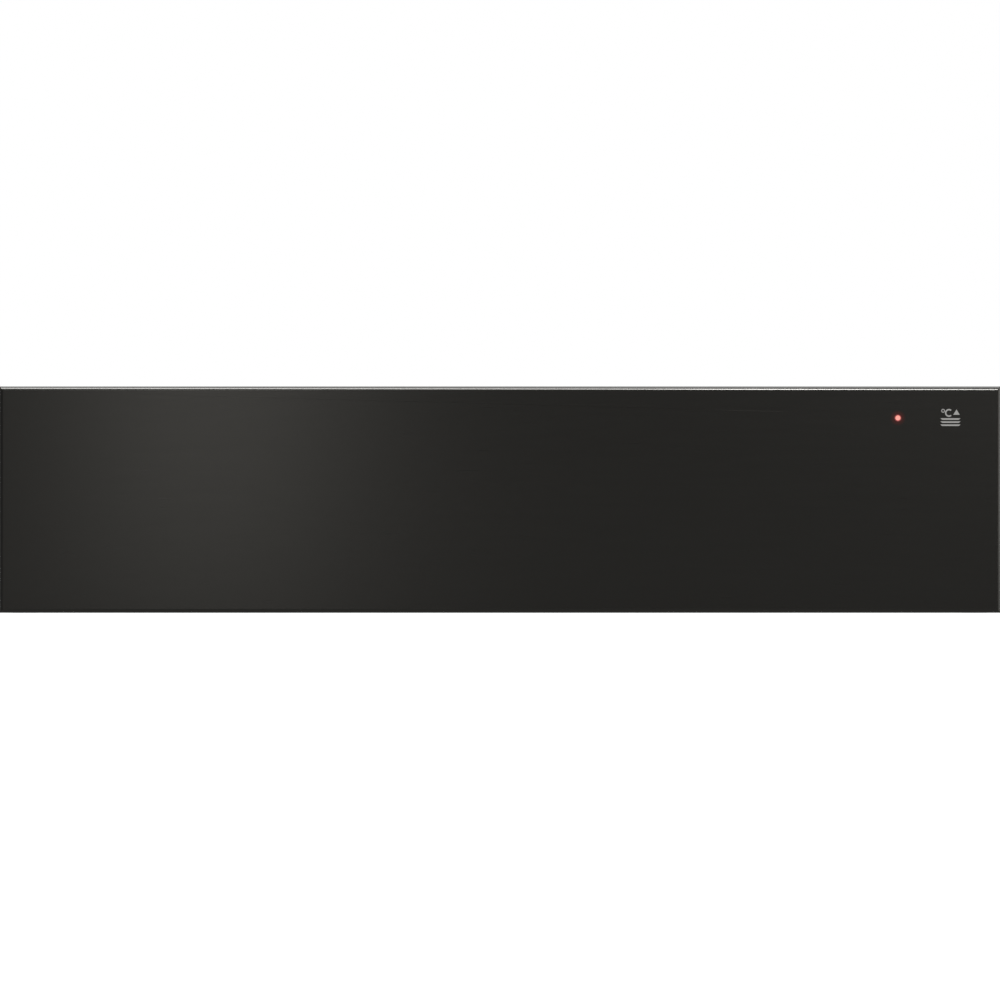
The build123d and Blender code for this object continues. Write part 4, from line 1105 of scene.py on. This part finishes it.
@dataclass
class ScrewSet:
    """Replaces a node of plain screws by pan heads with a six-lobed drive.

    `drive` and `head` are outlines: shares of the drive's or the head's radius, and of the head's height
    from its crown.
    """

    node: str
    body: Body
    sides: int = 36
    lobes: int = 6
    lobe_depth: float = 0.16
    drive_share: float = 0.46  # of the head's radius
    drive: tuple[Pair, ...] = ((0.8, 0.62), (1.0, 0.55), (1.0, 0.03), (1.06, 0.0))
    head: tuple[Pair, ...] = ((0.74, 0.04), (0.93, 0.24), (1.0, 0.62), (1.0, 1.0))
    seat_share: float = 0.95  # of the head's radius, past which a point is on its rim
    flat: float = 0.01 * MM
    weld: float = 0.001 * MM

    def islands(self) -> list[list[Vector]]:
        """The points of each separate screw in the CAD node.

        Returns:
            One list of points for each screw.
        """
        work = bmesh.new()
        work.from_mesh(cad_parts[self.node].data)
        bmesh.ops.remove_doubles(work, verts=work.verts, dist=self.weld)
        groups = []
        for vertex in work.verts:
            if vertex.tag:
                continue
            vertex.tag = True
            group = [vertex]
            for member in group:
                for other in (edge.other_vert(member) for edge in member.link_edges):
                    if not other.tag:
                        other.tag = True
                        group.append(other)
            groups.append([member.co.copy() for member in group])
        work.free()
        return groups

    def lobed(self, radius: float) -> Callable[[float], float]:
        """The radius of a lobed outline, as a function of the turn."""
        return lambda turn: radius * (1 + self.lobe_depth * math.cos(self.lobes * turn))

    def rings(self, group: Sequence[Vector]) -> list[list[Vector]]:
        """The rings of one screw, from the floor of its drive over its head to its tip.

        Args:
            group: the points of the plain screw in its place.

        Returns:
            The rings.
        """
        low, high = (Vector([pick(point[k] for point in group) for k in range(3)]) for pick in (min, max))
        size, centre = high - low, (low + high) / 2
        axis = min(range(3), key=lambda k: abs(size[(k + 1) % 3] - size[(k + 2) % 3]))
        first, second = (axis + 1) % 3, (axis + 2) % 3
        spots = [(p[axis], math.hypot(p[first] - centre[first], p[second] - centre[second])) for p in group]
        ends = (low[axis], high[axis])
        width = {end: max(away for at, away in spots if abs(at - end) < self.flat) for end in ends}
        crown, tip = sorted(width, key=width.get, reverse=True)
        reach = size[first] / 2
        seat = max(abs(at - crown) for at, away in spots if away > self.seat_share * reach)
        shank = min(width[tip], reach)
        drive = self.drive_share * reach
        outline = [(self.lobed(share * drive), depth * seat) for share, depth in self.drive]
        outline += [(share * reach, depth * seat) for share, depth in self.head]
        outline += [(shank, seat), (shank, abs(tip - crown))]
        middle = Vector(centre)
        rings = []
        for radius, depth in outline:
            middle[axis] = crown + math.copysign(depth, tip - crown)
            rings.append(ring(middle, (AXES[first], AXES[second]), radius, self.sides))
        return rings

    def build(self) -> None:
        """Build the screws, as one piece."""
        skin = Skin()
        for group in self.islands():
            skin.wrap(self.rings(group))
        screws = skin.piece(f"{self.node}_lobed", SCREW_PLATE, 40)
        settle(screws, self.body, Slot.SCREW_STEEL, self.node)


# ---------- drawer front
@dataclass
class ControlSymbol:
    """The printed control sign on the front: degree mark, C, triangle and three stacked plates."""

    face_y: float
    centre_x: float
    top_z: float
    pixel: float = 0.5958 * MM
    depth: float = 0.04 * MM
    arc_steps: int = 24
    degree: Arc = (-7.40, 2.10, 1.45, 0.80)
    letter: Arc = (-1.55, 4.2, 3.25, 1.45)
    letter_gap: float = 48.0
    triangle: tuple[Pair, ...] = ((6.0, 0.7), (9.3, 6.1), (2.7, 6.1))
    plate_tops: tuple[float, ...] = (9.5, 12.6, 15.7)
    plate_half: tuple[Pair, ...] = ((10.1, 0.0), (9.0, 1.1), (8.1, 1.6))

    def arc(self, form: Arc, start: float, end: float) -> list[Pair]:
        """The outline of an arc with a thick stroke.

        Args:
            form: right and down of its middle, radius and stroke, in pixels.
            start: where it starts, in degrees from the right, up being positive.
            end: where it ends.

        Returns:
            The outline's points, in pixels.
        """
        x, y, radius, stroke = form
        turns = [math.radians(start + (end - start) * i / self.arc_steps) for i in range(self.arc_steps + 1)]
        return [
            (x + reach * math.cos(turn), y - reach * math.sin(turn))
            for reach, way in ((radius + stroke / 2, turns), (radius - stroke / 2, turns[::-1]))
            for turn in way
        ]

    def outlines(self) -> list[Sequence[Pair]]:
        """Closed outlines of the sign, as (right, down) in pixels from its upper middle.

        Returns:
            One list of points for each filled form, in order.
        """
        gap = self.letter_gap
        forms = [self.arc(self.degree, 0.0, 180.0), self.arc(self.degree, 180.0, 360.0)]
        forms += [self.arc(self.letter, gap, 180.0), self.arc(self.letter, 180.0, 360.0 - gap)]
        forms.append(self.triangle)
        for top in self.plate_tops:
            right = [(x, top + y) for x, y in self.plate_half]
            forms.append(right + [(-x, y) for x, y in right[::-1]])
        return forms

    def build(self) -> None:
        """Print the sign."""
        skin = Skin()
        for form in self.outlines():
            places = [(self.centre_x + self.pixel * x, self.top_z - self.pixel * z) for x, z in form]
            skin.wrap([[(x, y, z) for x, z in places] for y in (self.face_y, self.face_y + self.depth)])
        settle(skin.piece("control_symbol", SYMBOL_INK), Body.DRAWER, Slot.WHITE_PLASTIC)


@dataclass
class CircuitBoard:
    """A circuit board, whose components take their colours by their place along X."""

    node: str
    finish: str
    axis: str
    face: float  # the board's face, from the node's low side along the axis
    way: int  # which way the components stand from the face
    parts: tuple[tuple[float, Colour], ...]
    margin: float = 0.05 * MM

    def build(self) -> None:
        """Dress the board."""
        low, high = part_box(self.node)
        margin = self.way * self.margin
        start = low["XYZ".index(self.axis)] + self.face + margin
        laminate = Laminate(self.finish, self.axis, (start, start + margin), (low.x, high.x), self.parts)
        dress(laminate, self.node)


@dataclass
class DrawerFront:
    """The folded black front with its light, sign and what stands behind them."""

    lens_node: str = "status_lens"
    lens_radius: float = 1.6 * MM
    lens_flange: float = 2.15 * MM
    lens_dome: float = 0.15 * MM
    lens_sides: int = 40
    dome_share: float = 0.97  # of the lens's radius
    dome_steps: int = 6
    collar_depth: float = 1.5 * MM
    proud: float = 0.03 * MM
    sign_rise: float = 5.5 * MM
    sign_shift: float = -0.5 * MM
    parts: tuple[tuple[float, Colour], ...] = ((0.0, (0.015, 0.015, 0.016)), (0.30, (0.60, 0.58, 0.52)))

    def lens(self) -> None:
        """Build the light's lens: a collar behind the front, a domed rod and a thin flange round it."""
        low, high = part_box(self.lens_node)
        centre = middle_of(self.lens_node)
        radius, flange, proud = self.lens_radius, self.lens_flange, self.proud
        collar, collar_front = (high.x - low.x) / 2, low.y + self.collar_depth
        outline = [
            (collar, high.y), (collar, collar_front), (radius, collar_front), (radius, low.y),
            (flange, low.y), (flange, low.y - proud / 2), (flange - proud, low.y - proud),
            (radius, low.y - proud),
        ]
        for turn in (FULL_TURN / 4 * i / self.dome_steps for i in range(self.dome_steps)):
            reach = self.dome_share * radius * math.cos(turn)
            outline.append((reach, low.y + self.lens_dome * (1 - math.sin(turn))))
        middles = [(reach, Vector((centre.x, y, centre.z))) for reach, y in outline]
        rings = [ring(middle, UPRIGHT, reach, self.lens_sides) for reach, middle in middles]
        glow = Glow("lit_lens", (centre.x, 0.0, centre.z), flange)
        lens = Skin().wrap(rings).piece("status_lens_domed", glow, 50)
        settle(lens, Body.DRAWER, Slot.LIGHT, self.lens_node)

    def build(self) -> None:
        """Build and dress the front."""
        low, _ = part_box("front_panel")
        light, pad = middle_of(self.lens_node), middle_of("touch_sensor")
        dress(GraphiteSteel("graphite_coated_steel", (light.x, 0.0, light.z)), "front_panel")
        dress(GALVANISED, "front_carrier")
        dress(BLACK_PLASTIC, "control_box")
        CircuitBoard("control_board", "control_laminate", "Y", 1.4 * MM, -1, self.parts).build()
        dress(COPPER_PAD, "touch_sensor")
        self.lens()
        ControlSymbol(low.y - self.proud, pad.x + self.sign_shift, pad.z + self.sign_rise).build()
        InsulationPad("front_insulation", Body.DRAWER, thin_axis=1).build()
        DoorSeal().build()
        ScrewSet("front_screws", Body.DRAWER).build()


# ---------- drawer, runners, latch
@dataclass
class Tray:
    """The drawn stainless tray with its mat and brackets."""

    def build(self) -> None:
        """Build and dress the tray."""
        dress(TRAY_STEEL, "drawer_tray")
        dress(ZINC_PLATE, "tray_bracket_left", "tray_bracket_right", "latch_striker")
        AntiSlipMat().build()
        ScrewSet("tray_screws", Body.DRAWER).build()
        ScrewSet("bracket_screws", Body.DRAWER).build()


@dataclass
class Runners:
    """The two full-extension ball runners."""

    sides: tuple[str, str] = ("left", "right")

    def build(self) -> None:
        """Dress the runners."""
        for side in self.sides:
            dress(ZINC_PLATE, f"runner_outer_{side}", f"runner_middle_{side}", f"runner_inner_{side}")
            dress(CAGE_PLATE, f"outer_cage_{side}", f"inner_cage_{side}")


@dataclass
class PushLatch:
    """The push-to-open latch under the tray."""

    def build(self) -> None:
        """Dress the latch."""
        dress(LATCH_PLASTIC, "latch_body")
        dress(WHITE_PLASTIC, "latch_slider")


# ---------- housing
@dataclass
class Housing:
    """The galvanised housing with its ceiling, rear wall, insulation and gland."""

    sheets: tuple[str, ...] = (
        "base_pan", "top_cover", "side_wall_left", "side_wall_right", "rear_panel", "cavity_ceiling",
        "cavity_rear_wall",
    )

    def build(self) -> None:
        """Build and dress the housing."""
        dress(GALVANISED, *self.sheets)
        dress(BLACK_PLASTIC, "cable_gland")
        InsulationPad("insulation_mat", Body.HOUSING, thin_axis=2, cell=11 * MM).build()
        ScrewSet("wall_screws", Body.HOUSING).build()
        ScrewSet("housing_screws", Body.HOUSING).build()


@dataclass
class HotAir:
    """Fan, heater and motor behind the warm cavity."""

    def build(self) -> None:
        """Dress the hot-air system."""
        dress(TRAY_STEEL, "fan_grille")
        dress(FAN_SHEET, "fan_impeller")
        dress(SCREW_PLATE, "fan_shaft", "temperature_sensor")
        dress(HEATER_SHEATH, "heating_element")
        dress(IRON_STACK, "motor_stator", "motor_rotor")
        dress(COPPER_WINDING, "motor_coil")
        dress(ZINC_PLATE, "motor_bracket")
        dress(BLACK_PLASTIC, "safety_thermostat")


@dataclass
class Electrics:
    """Boards and terminals in the motor bay, and the cable's clips."""

    parts: tuple[tuple[float, Colour], ...] = (
        (0.0, (0.62, 0.42, 0.05)), (0.36, (0.015, 0.06, 0.24)), (0.62, (0.02, 0.02, 0.024)),
        (0.78, (0.66, 0.64, 0.58)),
    )

    def build(self) -> None:
        """Dress the electrics."""
        dress(WHITE_PLASTIC, "terminal_block", "cable_clips")
        dress(BLACK_PLASTIC, "board_tray")
        CircuitBoard("power_board", "power_laminate", "Z", 1.6 * MM, 1, self.parts).build()


# ---------- cables
@dataclass
class Cables:
    """The loose control cable with its bushing, and the lead inside the front."""

    radius: float = 2 * MM
    steps: int = 12
    low_z: float = 3.3 * MM  # on the base pan
    high_z: float = 20.4 * MM  # under the tray
    bend_start: float = 0.154
    bend_end: float = 0.201
    sleeve: Pair = (0.1980, 0.2074)
    sleeve_bore: float = 2.05 * MM
    sleeve_outside: float = 2.27 * MM
    sleeve_sides: int = 32
    lead_start: float = 6 * MM
    lead_rises: tuple[float, ...] = (3 * MM, 10 * MM, 40 * MM)
    on_pan: tuple[Pair, ...] = (
        (-0.190, 0.2030), (-0.190, 0.160), (-0.184, 0.110), (-0.158, 0.064), (-0.112, 0.040),
        (-0.060, 0.044), (-0.010, 0.026), (0.044, 0.030), (0.096, 0.046), (0.134, 0.084),
    )
    loop: tuple[Point, ...] = (
        (0.148, 0.134, 0.0043), (0.160, 0.170, 0.0093), (0.182, 0.188, 0.0154), (0.204, 0.170, 0.0194),
    )
    under_tray: tuple[Pair, ...] = (
        (0.206, 0.132), (0.206, 0.084), (0.203, 0.032), (0.203, -0.022), (0.207, -0.074),
        (0.226, -0.118), (0.240, -0.160), (0.240, -0.208), (0.252, -0.234), (0.252, -0.254),
    )

    def route(self) -> list[Point]:
        """The control cable's points, from its bushing over the base pan and up to the front."""
        pan = [(x, y, self.low_z) for x, y in self.on_pan]
        return pan + list(self.loop) + [(x, y, self.high_z) for x, y in self.under_tray]

    def control_cable(self) -> None:
        """Build the flexible cable between housing and drawer."""
        route = self.route()
        line = smooth_line(route, self.steps)
        cable = tube("control_cable_sheath", line, self.radius, SHEATH)
        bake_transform(cable)
        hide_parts("control_cable")
        LOG.info("built %s, %.3f m long", cable.name, line_length(line))

    def cable_sleeve(self) -> None:
        """Build the bushing in the cavity's rear wall, in which the cable slides with the front."""
        x, _, z = self.route()[0]
        front, rear = self.sleeve
        bore, outside = self.sleeve_bore, self.sleeve_outside
        outline = ((bore, front), (bore, rear), (outside, rear), (outside, front))
        rings = [ring(Vector((x, y, z)), UPRIGHT, reach, self.sleeve_sides) for reach, y in outline]
        sleeve = Skin().wrap(rings, closed=True).piece("cable_sleeve", BLACK_PLASTIC, 40)
        settle(sleeve, Body.HOUSING, Slot.CABLE)

    def drawer_lead(self) -> None:
        """Build the lead inside the front, from the hole in its back up to the control box."""
        low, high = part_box("drawer_lead")
        x, y, z = (low.x + high.x) / 2, low.y + self.radius, low.z + self.radius
        route = [(x, high.y, z), (x, high.y - self.lead_start, z)]
        route += [(x, y, z + rise) for rise in self.lead_rises] + [(x, y, high.z)]
        lead = tube("drawer_lead_sheath", smooth_line(route, self.steps), self.radius, SHEATH)
        settle(lead, Body.DRAWER, Slot.CABLE, "drawer_lead")

    def build(self) -> None:
        """Build the cables."""
        self.control_cable()
        self.cable_sleeve()
        self.drawer_lead()
        Harness().build()


@dataclass
class Harness:
    """The twisted wires from the terminals to the power board, held together by ties."""

    node: str = "wiring_harness"
    radius: float = 3 * MM
    wire: float = 0.94 * MM
    twist: float = 110 * MM
    grip: float = 0.1 * MM
    steps: int = 16
    board_y: float = -18.4 * MM  # from the bundle's rearmost run
    tie_shares: tuple[float, ...] = (0.1, 0.32, 0.55, 0.78, 0.93)
    tie_sides: int = 24
    tie_half: float = 1.25 * MM
    tie_seat: float = 0.2 * MM  # from the bundle to the tie's head
    tie_thickness: float = 0.3 * MM
    tie_head: Size = (2.2 * MM, 1.6 * MM, 1.8 * MM)
    under: float = -0.3  # a spoke's Z below which it points at the pan

    def route(self) -> list[Point]:
        """The bundle's control points, inside its CAD solid.

        Returns:
            The points, from the terminals to the board.
        """
        low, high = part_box(self.node)
        front, rear, floor = low.y + self.radius, high.y - self.radius, low.z + self.radius
        board = rear + self.board_y
        places = (
            (0.0, front, 6.0), (30.0, front, 3.5), (59.7, front, 1.0), (96.0, front + 13.2 * MM, 0.5),
            (131.7, rear, 0.0), (177.0, rear, 0.0), (221.7, rear, 0.0), (244.0, rear - 9.2 * MM, 0.5),
            (266.7, board, 1.0),
        )
        route = [(low.x + along * MM, y, floor + rise * MM) for along, y, rise in places]
        return route + [(high.x, board, floor + MM)]

    def build(self) -> None:
        """Build the wires and the ties round them."""
        line = smooth_line(self.route(), self.steps)
        frames = path_frames(line)
        ways = [line_length(line[: k + 1]) for k in range(len(line))]
        away = self.radius - self.wire - self.grip
        for k, finish in enumerate(WIRES):
            strand = []
            for (point, side, up), way in zip(frames, ways):
                turn = FULL_TURN * (k / len(WIRES) + way / self.twist)
                strand.append(point + away * (math.cos(turn) * side + math.sin(turn) * up))
            wire = tube(f"harness_wire_{k + 1}", strand, self.wire, finish, sides=10)
            settle(wire, Body.HOUSING, Slot.CABLE, self.node)
        for k, share in enumerate(self.tie_shares):
            self.tie(f"harness_tie_{k + 1}", *frames[round(share * (len(frames) - 1))])

    def tie(self, name: str, point: Vector, side: Vector, up: Vector) -> None:
        """Put one cable tie round the bundle, thin underneath where it lies on the pan.

        Args:
            name: the tie's name.
            point: the bundle's middle there.
            side: its side direction.
            up: its up direction.
        """
        along = side.cross(up)
        inside, outside = self.radius - self.grip, self.radius + self.tie_thickness
        strap = ((inside, -1), (outside, -1), (outside, 1), (inside, 1))
        spokes = ring(Vector(), (side, up), 1.0, self.tie_sides)
        rings = []
        for reach, way in strap:
            middle = point + way * self.tie_half * along
            below = min(reach, self.radius)
            rings.append([middle + (below if s.z < self.under else reach) * s for s in spokes])
        skin = Skin().wrap(rings, closed=True)
        wide, tall, deep = self.tie_head
        base = point + (self.radius + self.tie_seat) * up
        corners = [(-0.5, -0.5), (0.5, -0.5), (0.5, 0.5), (-0.5, 0.5)]
        levels = (base, base + tall * up)
        skin.wrap([[at + u * wide * side + v * deep * along for u, v in corners] for at in levels])
        settle(skin.piece(name, TIE_PLASTIC, 40), Body.HOUSING, Slot.WHITE_PLASTIC)


def main() -> None:
    """Build the drawer's looks in order."""
    logging.basicConfig(level=logging.INFO, format="%(message)s")
    front_low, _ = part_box("front_panel")
    Studio(face_y=front_low.y).build()
    Cables().build()
    DrawerFront().build()
    Tray().build()
    Runners().build()
    PushLatch().build()
    Housing().build()
    HotAir().build()
    Electrics().build()


if __name__ == "__main__":
    main()
